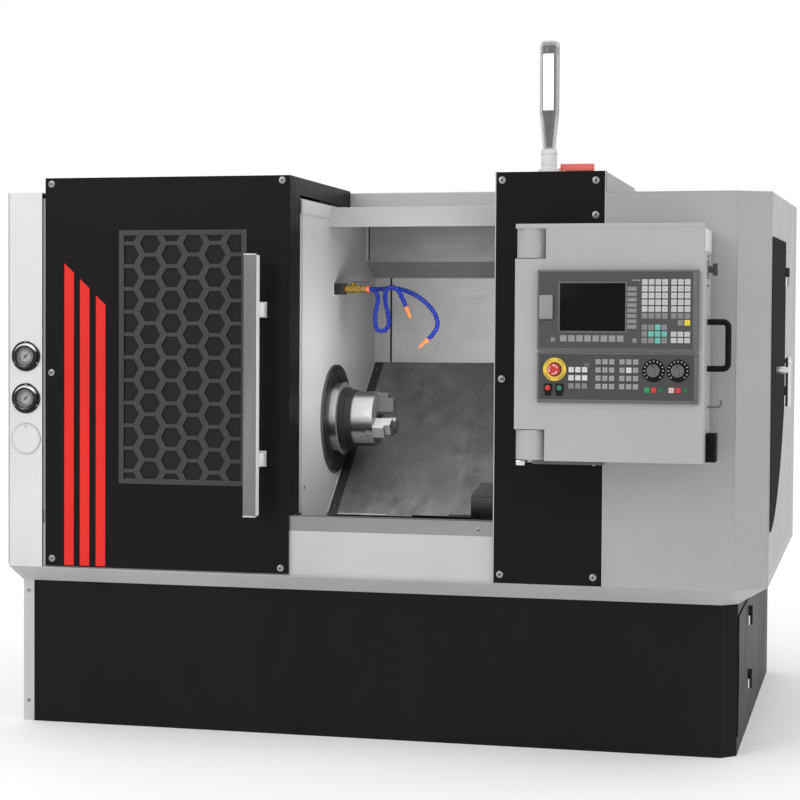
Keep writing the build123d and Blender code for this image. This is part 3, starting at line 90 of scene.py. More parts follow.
def facing(normal, up=UP):
    """Turn that points local z along a normal and keeps local y near up."""
    z = Vector(normal).normalized()
    side = Vector(up).cross(z)
    if side.length < 1e-6:
        side = TO_RIGHT.copy()
    side.normalize()
    return Matrix((side, z.cross(side), z)).transposed()


FLAT = Matrix.Identity(3)
FRONT = facing(TO_FRONT)
RIGHTWARD = facing(TO_RIGHT)
UPRIGHT = facing(UP, -TO_FRONT)

# The bed's slope: foot and head of the way cover, as (depth, z)
SLOPE_FOOT = (396.0, 600.0)
SLOPE_HEAD = (967.0, 1053.0)
SLOPE = atan2(SLOPE_HEAD[1] - SLOPE_FOOT[1], SLOPE_HEAD[0] - SLOPE_FOOT[0])
ON_SLOPE = Matrix.Rotation(SLOPE, 3, "X")


def on_slope(x, s, n):
    """Point in the bed's frame: s runs up the slope and n stands off it."""
    return place(
        x,
        SLOPE_FOOT[0] + s * cos(SLOPE) - n * sin(SLOPE),
        SLOPE_FOOT[1] + s * sin(SLOPE) + n * cos(SLOPE),
    )


class Nodes:
    """A node tree being built."""

    def __init__(self, tree):
        self.tree = tree

    def node(self, kind, values=None, **properties):
        """Adds a node, with its properties set and its inputs set or linked."""
        made = self.tree.nodes.new(kind)
        for label, value in properties.items():
            setattr(made, label, value)
        for label, value in (values or {}).items():
            self.feed(made.inputs[label], value)
        return made

    def feed(self, socket, value):
        """Links an output to a socket, or sets the socket's own value."""
        if isinstance(value, bpy.types.NodeSocket):
            self.tree.links.new(value, socket)
        elif socket.type == "RGBA" and len(value) == 3:
            socket.default_value = (*value, 1.0)
        else:
            socket.default_value = value

    def maths(self, how, first, second=0.0):
        """Sum, product or other step between two values."""
        return self.node("ShaderNodeMath", {0: first, 1: second}, operation=how).outputs[0]

    def span(self, value, low, high, to_low=0.0, to_high=1.0):
        """Value rescaled from one range to another and held inside it."""
        limits = {"From Min": low, "From Max": high, "To Min": to_low, "To Max": to_high}
        return self.node("ShaderNodeMapRange", {"Value": value, **limits}).outputs["Result"]


class Finish(Nodes):
    """A material being built, from its nodes to its surface shader."""

    def __init__(self, name, colour, roughness=0.5, metallic=0.0, **sockets):
        self.material = bpy.data.materials.new(name)
        self.material.use_nodes = True
        super().__init__(self.material.node_tree)
        self.shader = self.tree.nodes["Principled BSDF"]
        self.point = self.node("ShaderNodeTexCoord").outputs["Object"]
        self.set(Base_Color=colour, Roughness=roughness, Metallic=metallic, **sockets)

    def set(self, **sockets):
        """Feeds the shader's inputs, their names with _ for a space."""
        for label, value in sockets.items():
            self.feed(self.shader.inputs[label.replace("_", " ")], value)

    def minus(self, centre):
        """Object coordinates from a centre."""
        return self.node("ShaderNodeVectorMath", {0: self.point, 1: centre}, operation="SUBTRACT").outputs[0]

    def mapped(self, scale=(1, 1, 1), centre=(0, 0, 0), turn=(0, 0, 0)):
        """Object coordinates about a centre, turned and scaled."""
        values = {"Vector": self.minus(centre), "Rotation": turn, "Scale": scale}
        return self.node("ShaderNodeMapping", values).outputs[0]

    def noise(self, scale, detail=4.0, vector=None, rough=0.55, warp=0.0):
        """Noise value at a number of features per metre."""
        values = {"Scale": scale, "Detail": detail, "Roughness": rough, "Distortion": warp}
        return self.node("ShaderNodeTexNoise", {"Vector": vector or self.point, **values}).outputs["Fac"]

    def blend(self, amount, first, second, how="MIX"):
        """Colour between two, by an amount."""
        mixed = self.node("ShaderNodeMix", data_type="RGBA", blend_type=how)
        for index, value in ((0, amount), (6, first), (7, second)):
            self.feed(mixed.inputs[index], value)
        return mixed.outputs[2]

    def shade(self, value, low, high, dark, light):
        """Colour from dark to light as a value goes from low to high."""
        return self.blend(self.span(value, low, high), dark, light)

    def axis(self, index, vector=None):
        """One coordinate of a vector, or of the object coordinates."""
        return self.node("ShaderNodeSeparateXYZ", {0: vector or self.point}).outputs[index]

    def facing_way(self, index):
        """How far a face looks along a world axis, from -1 to 1."""
        return self.axis(index, self.node("ShaderNodeNewGeometry").outputs["Normal"])

    def ramp(self, value, stops):
        """Grey by a value from -1 to 1; stops are (value, display level)."""
        made = self.node("ShaderNodeValToRGB", {"Fac": self.span(value, -1.0, 1.0)})
        elements = made.color_ramp.elements
        for element, (spot, level) in zip(elements, (stops[0], stops[-1])):
            element.position, element.color = (spot + 1) / 2, (*grey(level), 1.0)
        for spot, level in stops[1:-1]:
            elements.new((spot + 1) / 2).color = (*grey(level), 1.0)
        return made.outputs[0]

    def relief(self, height, distance, strength=1.0):
        """Bumps the surface by a height value."""
        bump = self.node("ShaderNodeBump", {"Height": height, "Distance": distance, "Strength": strength})
        before = self.shader.inputs["Normal"]
        if before.is_linked:
            self.feed(bump.inputs["Normal"], before.links[0].from_socket)
        self.set(Normal=bump.outputs[0])


def grey(level):
    """Linear colour of an even grey given as a display level from 0 to 255."""
    value = level / 255
    linear = value / 12.92 if value < 0.04045 else ((value + 0.055) / 1.055) ** 2.4
    return (linear, linear, linear)


def tone(*levels):
    """Linear colour of a display colour given from 0 to 255."""
    return tuple(grey(level)[0] for level in levels)


def scaled(colour, factor):
    """Colour made darker or lighter."""
    return tuple(min(1.0, part * factor) for part in colour)


def powder_coat(name, colour, roughness=0.42, peel=0.35, dust=0.0, sheen=0.3):
    """Sprayed paint: fine orange peel, faint cloudiness, wiped smears and dust near the floor."""
    coat = Finish(name, colour, roughness, Specular_IOR_Level=sheen)
    cloud = coat.noise(2.3, 5.0, rough=0.6)
    smear = coat.noise(6.0, 6.0, coat.mapped(scale=(1, 1, 0.28)), rough=0.65, warp=0.6)
    shade = coat.shade(cloud, 0.3, 0.7, scaled(colour, 0.93), scaled(colour, 1.06))
    if dust:
        low = coat.span(coat.axis(2), 0.0, 0.5, 1.0, 0.0)
        grime = coat.maths("MULTIPLY", low, coat.span(smear, 0.35, 0.75))
        shade = coat.blend(coat.maths("MULTIPLY", grime, dust), shade, grey(120))
    coat.set(Base_Color=shade, Roughness=coat.span(smear, 0.25, 0.75, roughness - 0.07, roughness + 0.1))
    coat.relief(coat.noise(900.0, 2.0), 0.00012, peel)
    coat.relief(coat.noise(110.0, 2.0), 0.0002, peel * 0.5)
    return coat.material


# Height in metres above which a sheet with painted shade is darker: the foot of the inclined strip
PAINTED_SHADE_FROM = 1.327


def brushed_sheet(name, colour, along, roughness=0.34, streak=0.3, patches=3.5, metal=0.6, painted_shade=1.0,
                  centre=(0, 0, 0), turn=(0, 0, 0)):
    """Rolled or brushed sheet: long fine lines along one axis, with cloudy patches, and painted shade above a
    height.
    """
    sheet = Finish(name, colour, roughness, metal)
    fine, broad = [900.0] * 3, [24.0] * 3
    fine[along], broad[along] = 7.0, 1.6
    lines = sheet.noise(1.0, 3.0, sheet.mapped(fine, centre, turn))
    bands = sheet.noise(1.0, 4.0, sheet.mapped(broad, centre, turn), warp=0.4)
    patch = sheet.noise(patches, 5.0)
    mixed = sheet.maths("ADD", sheet.maths("MULTIPLY", lines, 0.45), sheet.maths("MULTIPLY", bands, 0.55))
    shade = sheet.shade(mixed, 0.35, 0.65, scaled(colour, 1 - streak), scaled(colour, 1 + streak))
    shade = sheet.shade(patch, 0.35, 0.65, scaled(colour, 0.84), shade)
    # Painted shade: the sheet is darker above the foot of the inclined strip
    if painted_shade < 1.0:
        above = sheet.span(sheet.axis(2), PAINTED_SHADE_FROM, PAINTED_SHADE_FROM + 0.004)
        shade = sheet.blend(above, shade, (painted_shade, painted_shade, painted_shade), "MULTIPLY")
    sheet.set(Base_Color=shade, Roughness=sheet.span(bands, 0.3, 0.7, roughness - 0.06, roughness + 0.14))
    sheet.relief(lines, 0.00004, 0.5)
    return sheet.material


def turned_steel(name, colour, centre, roughness, lines, stops=None, end_on=1.0, metallic=1.0):
    """Metal turned about a line along X; stops are bands of painted reflection by how far a face looks up.

    The bands are a painted reflection of the room that polished metal shows; end_on is the share of them kept
    on faces that look along +X, the rest being painted shade.
    """
    metal = Finish(name, colour, roughness, metallic)
    x, y, z = metal.node("ShaderNodeSeparateXYZ", {0: metal.minus(centre)}).outputs
    flat = metal.node("ShaderNodeCombineXYZ", {1: y, 2: z}).outputs[0]
    radius = metal.node("ShaderNodeVectorMath", {0: flat}, operation="LENGTH").outputs["Value"]
    ring = metal.node("ShaderNodeCombineXYZ", {0: radius, 1: x}).outputs[0]
    cut = metal.node("ShaderNodeMapping", {"Vector": ring, "Scale": (1500, 1500, 1)}).outputs[0]
    grooves = metal.noise(1.0, 2.0, cut)
    smear = metal.noise(30.0, 4.0)
    shade = metal.shade(grooves, 0.3, 0.7, scaled(colour, 1 - lines), scaled(colour, 1 + lines))
    if stops:
        # Painted reflection by how far a face looks up, with painted shade (grey 60) on faces that look along
        # +X
        end = metal.maths("MULTIPLY", metal.span(metal.facing_way(0), 0.6, 0.95), 1.0 - end_on)
        room = metal.blend(end, metal.ramp(metal.facing_way(2), stops), grey(60))
        shade = metal.blend(1.0, shade, room, "MULTIPLY")
    metal.set(Base_Color=shade, Roughness=metal.span(smear, 0.3, 0.7, roughness, roughness + 0.08))
    metal.relief(grooves, 0.00001, 0.3)
    return metal.material


def polished(name, colour, roughness=0.14):
    """Plated or polished metal with faint handling marks."""
    metal = Finish(name, colour, roughness, 1.0)
    marks = metal.noise(160.0, 5.0, warp=0.5)
    metal.set(
        Base_Color=metal.shade(marks, 0.3, 0.8, scaled(colour, 0.9), colour),
        Roughness=metal.span(marks, 0.3, 0.75, roughness * 0.7, roughness * 1.9),
    )
    metal.relief(metal.noise(420.0, 3.0), 0.00003, 0.3)
    return metal.material


def casting(name, colour, roughness=0.6):
    """Painted or oiled casting: sand texture with darker hollows."""
    metal = Finish(name, colour, roughness)
    grain = metal.noise(260.0, 6.0, rough=0.7)
    patch = metal.noise(7.0, 5.0, rough=0.7)
    metal.set(
        Base_Color=metal.shade(patch, 0.3, 0.7, scaled(colour, 0.75), scaled(colour, 1.15)),
        Roughness=metal.span(patch, 0.3, 0.7, roughness - 0.15, roughness + 0.15),
    )
    metal.relief(grain, 0.0004, 0.6)
    return metal.material


def moulded(name, colour, roughness=0.42, grain=700.0, depth=0.00008, sheen=0.5):
    """Moulded plastic: fine spark texture and slight wear in its sheen."""
    plastic = Finish(name, colour, roughness, Specular_IOR_Level=sheen)
    wear = plastic.noise(45.0, 4.0)
    plastic.set(
        Base_Color=plastic.shade(wear, 0.3, 0.75, scaled(colour, 0.92), scaled(colour, 1.06)),
        Roughness=plastic.span(wear, 0.3, 0.7, roughness - 0.06, roughness + 0.08),
    )
    plastic.relief(plastic.noise(grain, 2.0), depth, 0.5)
    return plastic.material


def ring_plating(name, dark, bright):
    """Dark plating with a painted highlight on the slopes that look up."""
    metal = Finish(name, dark, 0.24, 1.0)
    metal.set(
        Base_Color=metal.shade(metal.facing_way(2), 0.24, 0.44, dark, bright),
        Roughness=metal.span(metal.noise(220.0, 4.0), 0.3, 0.7, 0.16, 0.32),
    )
    return metal.material


def clear(name, colour, roughness=0.03, transmission=1.0, alpha=1.0, sheen=0.5, stops=None):
    """Glass or clear plastic with faint smudges; stops give an upright tube painted bright and dark edges,
    and its faces that look up a painted highlight.
    """
    pane = Finish(
        name, colour, roughness,
        Transmission_Weight=transmission, Alpha=alpha, IOR=1.45, Specular_IOR_Level=sheen,
    )
    smudge = pane.noise(28.0, 5.0, warp=0.8)
    pane.set(Roughness=pane.span(smudge, 0.4, 0.8, roughness, roughness + 0.08))
    if stops:
        # Painted highlights: bright and dark edges by how far a face looks along X, and grey 236 on faces
        # that look up
        edges = pane.ramp(pane.facing_way(0), stops)
        pane.set(Base_Color=pane.shade(pane.facing_way(2), 0.25, 0.6, edges, grey(236)))
    return pane.material


def lit(name, colour, strength):
    """Surface that glows a little, such as a lamp's strip."""
    lamp = Finish(name, colour, 0.4)
    glow = lamp.shade(lamp.noise(90.0, 2.0), 0.3, 0.7, scaled(colour, 0.85), colour)
    lamp.set(Emission_Color=glow, Emission_Strength=strength)
    return lamp.material


def circle(radius, steps):
    """Corners round a circle, as (x, y)."""
    return [(radius * cos(tau * i / steps), radius * sin(tau * i / steps)) for i in range(steps)]


def rectangle(left, right, low, high):
    """Corners of a rectangle, as (x, y)."""
    return [(left, low), (right, low), (right, high), (left, high)]


def arc_band(start, reach, outer, inner, steps=8):
    """Corners of a band between two radii that starts at an angle and reaches round in degrees."""
    angles = [radians(start + reach * i / steps) for i in range(steps + 1)]
    sides = ((outer, angles), (inner, angles[::-1]))
    return [(radius * cos(a), radius * sin(a)) for radius, side in sides for a in side]


class Shape:
    """A mesh being built from closed solids, in the frame's metres."""

    def __init__(self):
        self.mesh = bmesh.new()

    def ring(self, origin, turn, points):
        """Corners at (x, y, height) in millimetres on a turned plane."""
        return [self.mesh.verts.new(Vector(origin) + turn @ (Vector(point) * MM)) for point in points]

    def skin(self, rings, bored=False):
        """Faces between rings of corners, closed at both ends or, if bored, back to the first."""
        for lower, upper in zip(rings, rings[1:] + rings[:1] if bored else rings[1:]):
            count = max(len(lower), len(upper))
            for i in range(count):
                after = (i + 1) % count
                corners = [lower[i % len(lower)], lower[after % len(lower)]]
                corners += [upper[after % len(upper)], upper[i % len(upper)]]
                unique = list(dict.fromkeys(corners))
                if len(unique) > 2:
                    self.mesh.faces.new(unique)
        for ring in () if bored else (rings[0][::-1], rings[-1]):
            if len(ring) > 2:
                self.mesh.faces.new(ring)
        return self

    def prism(self, outline, origin, turn, height):
        """Closed outline of (x, y) in millimetres on a turned plane, raised along its normal."""
        rings = [self.ring(origin, turn, [(x, y, z) for x, y in outline]) for z in (0.0, height)]
        return self.skin(rings)

    def block(self, x, depth, z, round_off=0.0, steps=2):
        """Box between two values on each axis in millimetres, its edges rounded off."""
        low, high = place(x[0], depth[0], z[0]), place(x[1], depth[1], z[1])
        matrix = Matrix.Translation((low + high) / 2) @ Matrix.Diagonal((*(high - low), 1.0))
        made = bmesh.ops.create_cube(self.mesh, size=1.0, matrix=matrix)
        if round_off:
            edges = list({edge for vert in made["verts"] for edge in vert.link_edges})
            bmesh.ops.bevel(
                self.mesh, geom=edges, offset=round_off * MM, segments=steps, affect="EDGES", profile=0.5
            )
        return self

    def turned(self, profile, origin, turn, steps=48, bored=False):
        """Solid of revolution about the plane's normal; profile is (radius, height) in millimetres.

        A bored one's profile is a closed loop off the axis.
        """
        rings = []
        for radius, height in profile:
            around = circle(radius, steps) if radius else [(0, 0)]
            rings.append(self.ring(origin, turn, [(x, y, height) for x, y in around]))
        return self.skin(rings, bored)

    def sweep(self, points, radius, steps):
        """Round bar along points in the frame, its ends closed."""
        rings, side = [], None
        for index, point in enumerate(points):
            before, after = points[max(index - 1, 0)], points[min(index + 1, len(points) - 1)]
            along = (after - before).normalized()
            side = (side - along * side.dot(along) if side else along.orthogonal()).normalized()
            turn = Matrix((side, along.cross(side), along)).transposed()
            rings.append(self.ring(point, turn, [(x, y, 0) for x, y in circle(radius, steps)]))
        return self.skin(rings)

    def data(self, name, smooth=True):
        """The finished mesh, its faces outward and its edges under 35 degrees soft."""
        bmesh.ops.recalc_face_normals(self.mesh, faces=self.mesh.faces)
        for face in self.mesh.faces:
            face.smooth = smooth
        for edge in self.mesh.edges:
            if len(edge.link_faces) == 2 and edge.calc_face_angle(0.0) > radians(35.0):
                edge.smooth = False
        made = bpy.data.meshes.new(name)
        self.mesh.to_mesh(made)
        self.mesh.free()
        return made

    def piece(self, name, finish, slot, body="machine"):
        """Ends the shape and adds it to the scene."""
        return add_piece(name, self.data(name), finish, body)


def to_scene(name, data):
    """New object in the scene."""
    made = bpy.data.objects.new(name, data)
    bpy.context.scene.collection.objects.link(made)
    return made


def add_piece(name, mesh, finish, body="machine"):
    """Puts a mesh in the scene as a piece that rides on a body."""
    made = to_scene(name, mesh)
    if not mesh.materials:
        mesh.materials.append(FINISHES[finish])
    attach(made, body)
    return made


def boxes(name, finish, slot, rows, round_off=0.3, body="machine"):
    """Piece made of boxes: rows of (x, x, depth, depth, z, z), then their own rounding and steps if any."""
    shape = Shape()
    for x, right, near, far, low, high, *rounding in rows:
        shape.block((x, right), (near, far), (low, high), *(rounding or [round_off]))
    return shape.piece(name, finish, slot, body)


def border(x, z, widths, depth):
    """Rows of boxes for a rim; widths are of its left, right, top and bottom strips."""
    left, right, top, bottom = x[0] + widths[0], x[1] - widths[1], z[1] - widths[2], z[0] + widths[3]
    sides = [(x[0], left, *z), (right, x[1], *z), (left, right, top, z[1]), (left, right, z[0], bottom)]
    return [(*side[:2], *depth, *side[2:]) for side in sides]


class Repeat(Nodes):
    """A Geometry Nodes tree that sets a part at many places, with named inputs."""

    def __init__(self, name, **inputs):
        super().__init__(bpy.data.node_groups.new(name, "GeometryNodeTree"))
        sockets = self.tree.interface
        sockets.new_socket("Geometry", in_out="INPUT", socket_type="NodeSocketGeometry")
        self.ids = {
            label: sockets.new_socket(label, in_out="INPUT", socket_type="NodeSocket" + kind).identifier
            for label, kind in {**inputs, "Part": "Object", "Finish": "Material"}.items()
        }
        sockets.new_socket("Geometry", in_out="OUTPUT", socket_type="NodeSocketGeometry")
        self.inputs = self.tree.nodes.new("NodeGroupInput").outputs

    def end(self, points, rotation, shift=(0, 0, 0)):
        """Ends the tree: the part at every point, as real geometry with its finish set."""
        part = self.node("GeometryNodeObjectInfo", {"Object": self.inputs["Part"]}).outputs["Geometry"]
        values = {"Points": points, "Instance": part, "Rotation": rotation}
        made = self.node("GeometryNodeInstanceOnPoints", values).outputs[0]
        made = self.node("GeometryNodeTransform", {"Geometry": made, "Translation": shift}).outputs[0]
        made = self.node("GeometryNodeRealizeInstances", {"Geometry": made}).outputs[0]
        values = {"Geometry": made, "Material": self.inputs["Finish"]}
        made = self.node("GeometryNodeSetMaterial", values).outputs[0]
        self.feed(self.tree.nodes.new("NodeGroupOutput").inputs[0], made)
        return self


def point_tree():
    """Tree that sets a part at each point of the base, turned as the point says."""
    tree = Repeat("parts_at_points")
    turn = tree.node("GeometryNodeInputNamedAttribute", {"Name": "turn"}, data_type="FLOAT_VECTOR")
    rotation = tree.node("FunctionNodeEulerToRotation", {"Euler": turn.outputs[0]})
    return tree.end(tree.inputs["Geometry"], rotation.outputs[0])


def grid_tree():
    """Tree that makes a block of key caps in the XZ plane, from its top left key."""
    tree = Repeat("key_block", Columns="Int", Rows="Int", Across="Float", Down="Float", Corner="Vector")
    columns, rows = tree.inputs["Columns"], tree.inputs["Rows"]
    wide, tall = (
        tree.maths("MULTIPLY", tree.maths("SUBTRACT", count, 1.0), tree.inputs[pitch])
        for count, pitch in ((columns, "Across"), (rows, "Down"))
    )
    values = {"Size X": wide, "Size Y": tall, "Vertices X": columns, "Vertices Y": rows}
    grid = tree.node("GeometryNodeMeshGrid", values).outputs[0]
    to_middle = {"X": tree.maths("MULTIPLY", wide, 0.5), "Z": tree.maths("MULTIPLY", tall, -0.5)}
    shift = tree.node("ShaderNodeCombineXYZ", to_middle).outputs[0]
    upright = (pi / 2, 0, 0)
    values = {"Geometry": grid, "Rotation": upright, "Translation": shift}
    return tree.end(tree.node("GeometryNodeTransform", values).outputs[0], upright, tree.inputs["Corner"])


def link_tree():
    """Tree that threads links at an even pitch on a curve."""
    tree = Repeat("links_on_curve", Pitch="Float")
    values = {"Curve": tree.inputs["Geometry"], "Length": tree.inputs["Pitch"]}
    spaced = tree.node("GeometryNodeCurveToPoints", values, mode="LENGTH").outputs
    return tree.end(spaced["Points"], spaced["Rotation"])


TREES = {}


def repeat(tree, base, part, name, finish, slot, body="machine", **values):
    """Piece that a tree makes of copies of a part, placed by a base mesh or curve."""
    holder, carrier = to_scene("part", part), to_scene("carrier", base)
    modifier = carrier.modifiers.new("repeat", "NODES")
    modifier.node_group = TREES[tree].tree
    for label, value in {"Part": holder, "Finish": FINISHES[finish], **values}.items():
        modifier[TREES[tree].ids[label]] = value
    bpy.context.view_layer.update()
    seen = carrier.evaluated_get(bpy.context.evaluated_depsgraph_get())
    made = bpy.data.meshes.new_from_object(seen)
    made.name = name
    carrier.modifiers.remove(modifier)
    for spent in (carrier, holder):
        bpy.data.objects.remove(spent)
    return add_piece(name, made, finish, body)


def set_at_points(name, part, places, finish, slot, body="machine"):
    """Copies of a part, its z outward and in its own metres, at (point, normal[, up]) places."""
    base = bpy.data.meshes.new(name + "_places")
    base.from_pydata([point for point, *way in places], [], [])
    turns = base.attributes.new("turn", "FLOAT_VECTOR", "POINT")
    for item, (point, *way) in zip(turns.data, places):
        item.vector = facing(*way).to_euler()
    return repeat("points", base, part, name, finish, slot, body)


def looking(normal, spots):
    """Places for parts that look one way, from spots of (x, depth, z)."""
    return [(place(*spot), normal) for spot in spots]


def dial_places(centre, radius, proud, count):
    """Places of marks round three quarters of a dial that faces the front."""
    places = []
    for index in range(count):
        angle = radians(225 - 270 * index / (count - 1))
        spoke = Vector((cos(angle), 0, sin(angle)))
        places.append((centre + (spoke * radius + TO_FRONT * proud) * MM, TO_FRONT, spoke))
    return places


def screw_head(radius, height):
    """Button head with a hollow for its socket, z outward, on a thin washer."""
    washer = [(radius * 1.28, 0.0), (radius * 1.28, 0.9), (radius * 1.12, 1.2), (radius, 1.2)]
    dome = [(radius, 1.0), (radius, 1.6), (radius * 0.93, height * 0.72), (radius * 0.74, height * 0.93)]
    dome += [(radius * 0.5, height), (radius * 0.45, height), (radius * 0.42, height * 0.55)]
    return Shape().turned(washer, (0, 0, 0), FLAT, 24).turned(dome, (0, 0, 0), FLAT, 24).data("screw_head")


def flat_part(outline, height):
    """Low flat part in its own metres, z outward, such as a mark on a dial."""
    return Shape().prism(outline, (0, 0, 0), FLAT, height).data("flat_part")


def socket_plug(radius, height):
    """Dark hexagon that shows the bottom of a screw's socket."""
    return flat_part(circle(radius * 0.44, 6), height)


def screws(name, places, radius=7.5, height=4.6, slot="chrome", body="machine"):
    """Button-head screws, each with a dark hexagon in its socket as painted shade."""
    set_at_points(name, screw_head(radius, height), places, "screw", slot, body)
    # Painted shade: a dark hexagon at the bottom of each socket
    set_at_points(name + "_sockets", socket_plug(radius, height * 0.62), places, "socket", slot, body)


FINISHES = {}


def build_finishes(paint):
    """Makes every finish of the machine from the user's paint colours."""
    black, light, stripe = (tuple(coat) for coat in (paint.black_coat, paint.light_coat, paint.stripe))
    axis = on_axis(-100)
    # Bands of painted reflection of the room in the chuck and on the jaws, and of painted highlight in the
    # lamp's tube
    bands = [
        (-1.0, 60), (-0.9, 80), (-0.84, 205), (-0.5, 210), (-0.4, 70), (-0.16, 95), (-0.04, 190),
        (0.12, 236), (0.76, 222), (0.86, 120), (1.0, 96),
    ]
    flats = [(-1.0, 90), (-0.62, 196), (-0.3, 226), (-0.04, 112), (0.2, 108), (0.5, 226), (1.0, 232)]
    edges = [
        (-1.0, 92), (-0.93, 100), (-0.86, 236), (-0.66, 226), (-0.56, 138),
        (0.66, 138), (0.76, 226), (0.94, 236), (0.97, 100), (1.0, 92),
    ]
    makers = {
        powder_coat: {  # name, colour, roughness, orange peel, dust, sheen
            "black": ("black_coat", black, 0.36, 0.3, 0.0, 0.06),
            "base": ("base_coat", black, 0.44, 0.4, 0.03, 0.08),
            "column": ("column_coat", scaled(light, 1.8), 0.4),
            "front": ("front_coat", scaled(light, 1.38), 0.42),
            "casing": ("casing_coat", light, 0.42),
            "interior": ("interior_coat", scaled(light, 1.35), 0.38),
            "beam": ("beam_coat", scaled(light, 1.2), 0.4),
            "pendant": ("pendant_coat", scaled(light, 1.06), 0.4, 0.25),
            "stripe": ("stripe_red", stripe, 0.34, 0.12, 0.0, 0.2),
            "grille": ("grille_coat", grey(72), 0.5, 0.3, 0.0, 0.1),
            "motor": ("motor_coat", grey(58), 0.45, 0.4),
            "red_lever": ("red_dip", tone(240, 122, 114), 0.32, 0.3),
            "dark_lever": ("dark_dip", grey(70), 0.4, 0.3),
            "strip": ("edge_strip", grey(140), 0.4, 0.2),
        },
        # name, colour, axis of the lines, roughness, streak, patches, metal, painted shade factor, centre,
        # turn
        brushed_sheet: {
            "lined": ("wall_sheet", grey(226), 0, 0.42, 0.24, 6.0, 0.6, 0.64),
            "sill": ("sill_sheet", grey(150), 0, 0.36, 0.12),
            "way": (
                "way_sheet", grey(152), 1, 0.36, 0.42, 3.5, 0.6, 1.0, on_slope(0, 0, 0), (-SLOPE, 0, 0)
            ),
            "trough": ("trough_sheet", grey(84), 0, 0.42, 0.2),
            "ledge": ("ledge_sheet", grey(150), 0, 0.42, 0.1),
            "handle": ("handle_bar", grey(122), 2, 0.3, 0.16),
            # Bright unmetallic sheet: painted highlight on the door handle's side
            "handle_edge": ("handle_edge", grey(252), 2, 0.45, 0.02, 0.5, 0.0),
        },
        turned_steel: {  # name, colour, centre, roughness, lines, painted reflection bands, share of the bands end on (the rest painted shade), metal
            "chuck": ("chuck_steel", grey(234), axis, 0.26, 0.06, bands, 0.4, 0.3),
            "jaw": ("jaw_steel", grey(250), axis, 0.3, 0.05, flats, 0.75, 0.25),
            "spindle": ("spindle_steel", grey(236), axis, 0.28, 0.1, bands, 0.7, 0.4),
            "seal": ("seal_steel", grey(112), axis, 0.42, 0.16),
            "turret": ("turret_steel", grey(150), on_slope(450, 500, 172.8), 0.26, 0.22),
        },
        polished: {  # name, colour, roughness
            "screw": ("screw_chrome", grey(158), 0.2),
            "chrome": ("plated", grey(214), 0.12),
            "alloy": ("turned_alloy", grey(190), 0.24),
            "brass": ("valve_brass", tone(196, 160, 84), 0.22),
        },
        casting: {  # name, colour, roughness
            "bed": ("bed_casting_paint", grey(120), 0.5),
            "block": ("black_block", grey(34), 0.42),
            "apron_top": ("apron_top_coat", grey(84), 0.5),
        },
        # Gauge bezels and flanges: dark plating with a painted highlight on their upper slopes
        ring_plating: {"ring": ("ring_plating", grey(48), grey(236))},
        lit: {"led": ("lamp_strip", (1.0, 1.0, 0.98), 1.4)},
        clear: {  # name, colour, roughness, transmission, alpha, sheen, bands
            "pane": ("smoked_pane", grey(36), 0.1, 0.1, 1.0, 0.12),
            "tube": ("lamp_glass", grey(132), 0.05, 0.3, 0.62, 0.5, edges),
            "glass": ("dial_glass", (0.9, 0.92, 0.93), 0.03, 0.9, 0.25),
        },
        moulded: {  # name, colour, roughness, grain, its depth, sheen
            "adapter": ("adapter_oxide", grey(48), 0.4, 300.0, 0.00003),
            "socket": ("dark_recess", grey(18), 0.6),
            "belt": ("belt_rubber", grey(26), 0.75, 300.0, 0.0003),
            "side_pane": ("side_pane_gloss", grey(62), 0.4, 60.0, 0.00002, 0.0),
            "lamp_foot": ("lamp_foot_white", grey(226), 0.35),
            "lamp_core": ("lamp_core_grey", grey(104), 0.3),
            "hose": ("hose_blue", tone(26, 48, 150), 0.3, 500.0, 0.00004),
            "nozzle": ("nozzle_orange", tone(250, 134, 72), 0.32, 500.0, 0.00004),
            "unit": ("unit_plastic", grey(67), 0.5),
            "frame": ("unit_frame", grey(98), 0.42),
            "switches": ("switch_plastic", grey(61), 0.5),
            "screen": ("screen_dark", grey(17), 0.3, 40.0, 0.00001, 0.05),
            "light_key": ("key_light", grey(222), 0.45),
            "pale_key": ("key_pale", grey(196), 0.45),
            "mid_key": ("key_mid", grey(154), 0.45),
            "key_mark": ("key_mark", grey(112), 0.5),
            "grey_key": ("key_grey", grey(132), 0.45),
            "dark_key": ("key_dark", grey(136), 0.45),
            "yellow_key": ("key_yellow", tone(236, 214, 50), 0.42),
            "teal_key": ("key_teal", tone(104, 190, 178), 0.42),
            "green_key": ("key_green", tone(30, 150, 80), 0.4),
            "dark_green_key": ("key_dark_green", tone(20, 92, 60), 0.4),
            "red_key": ("key_red", tone(206, 48, 40), 0.4),
            "pink_key": ("key_pink", tone(228, 190, 186), 0.45),
            "stop": ("button_red", tone(204, 46, 38), 0.34, 500.0, 0.00003),
            "start": ("button_green", tone(20, 124, 84), 0.34, 500.0, 0.00003),
            "yellow": ("collar_yellow", tone(246, 212, 74), 0.42),
            "knob": ("knob_grey", grey(100), 0.44),
            "dial_black": ("dial_black", grey(20), 0.5, 700.0, 0.00008, 0.15),
            "white": ("print_white", grey(226), 0.5, 300.0, 0.00002),
            "ink": ("print_dark", grey(40), 0.5, 300.0, 0.00002),
            "dial": ("dial_face", grey(104), 0.5, 300.0, 0.00002),
            "dial_centre": ("dial_centre", grey(172), 0.5, 300.0, 0.00002),
            "needle": ("needle_lacquer", grey(24), 0.4),
            "handle_black": ("handle_nylon", grey(16), 0.6, 420.0, 0.0002, 0.12),
            "flap": ("flap_grey", grey(146), 0.5),
        },
    }
    for maker, finishes in makers.items():
        for key, values in finishes.items():
            FINISHES[key] = maker(*values)


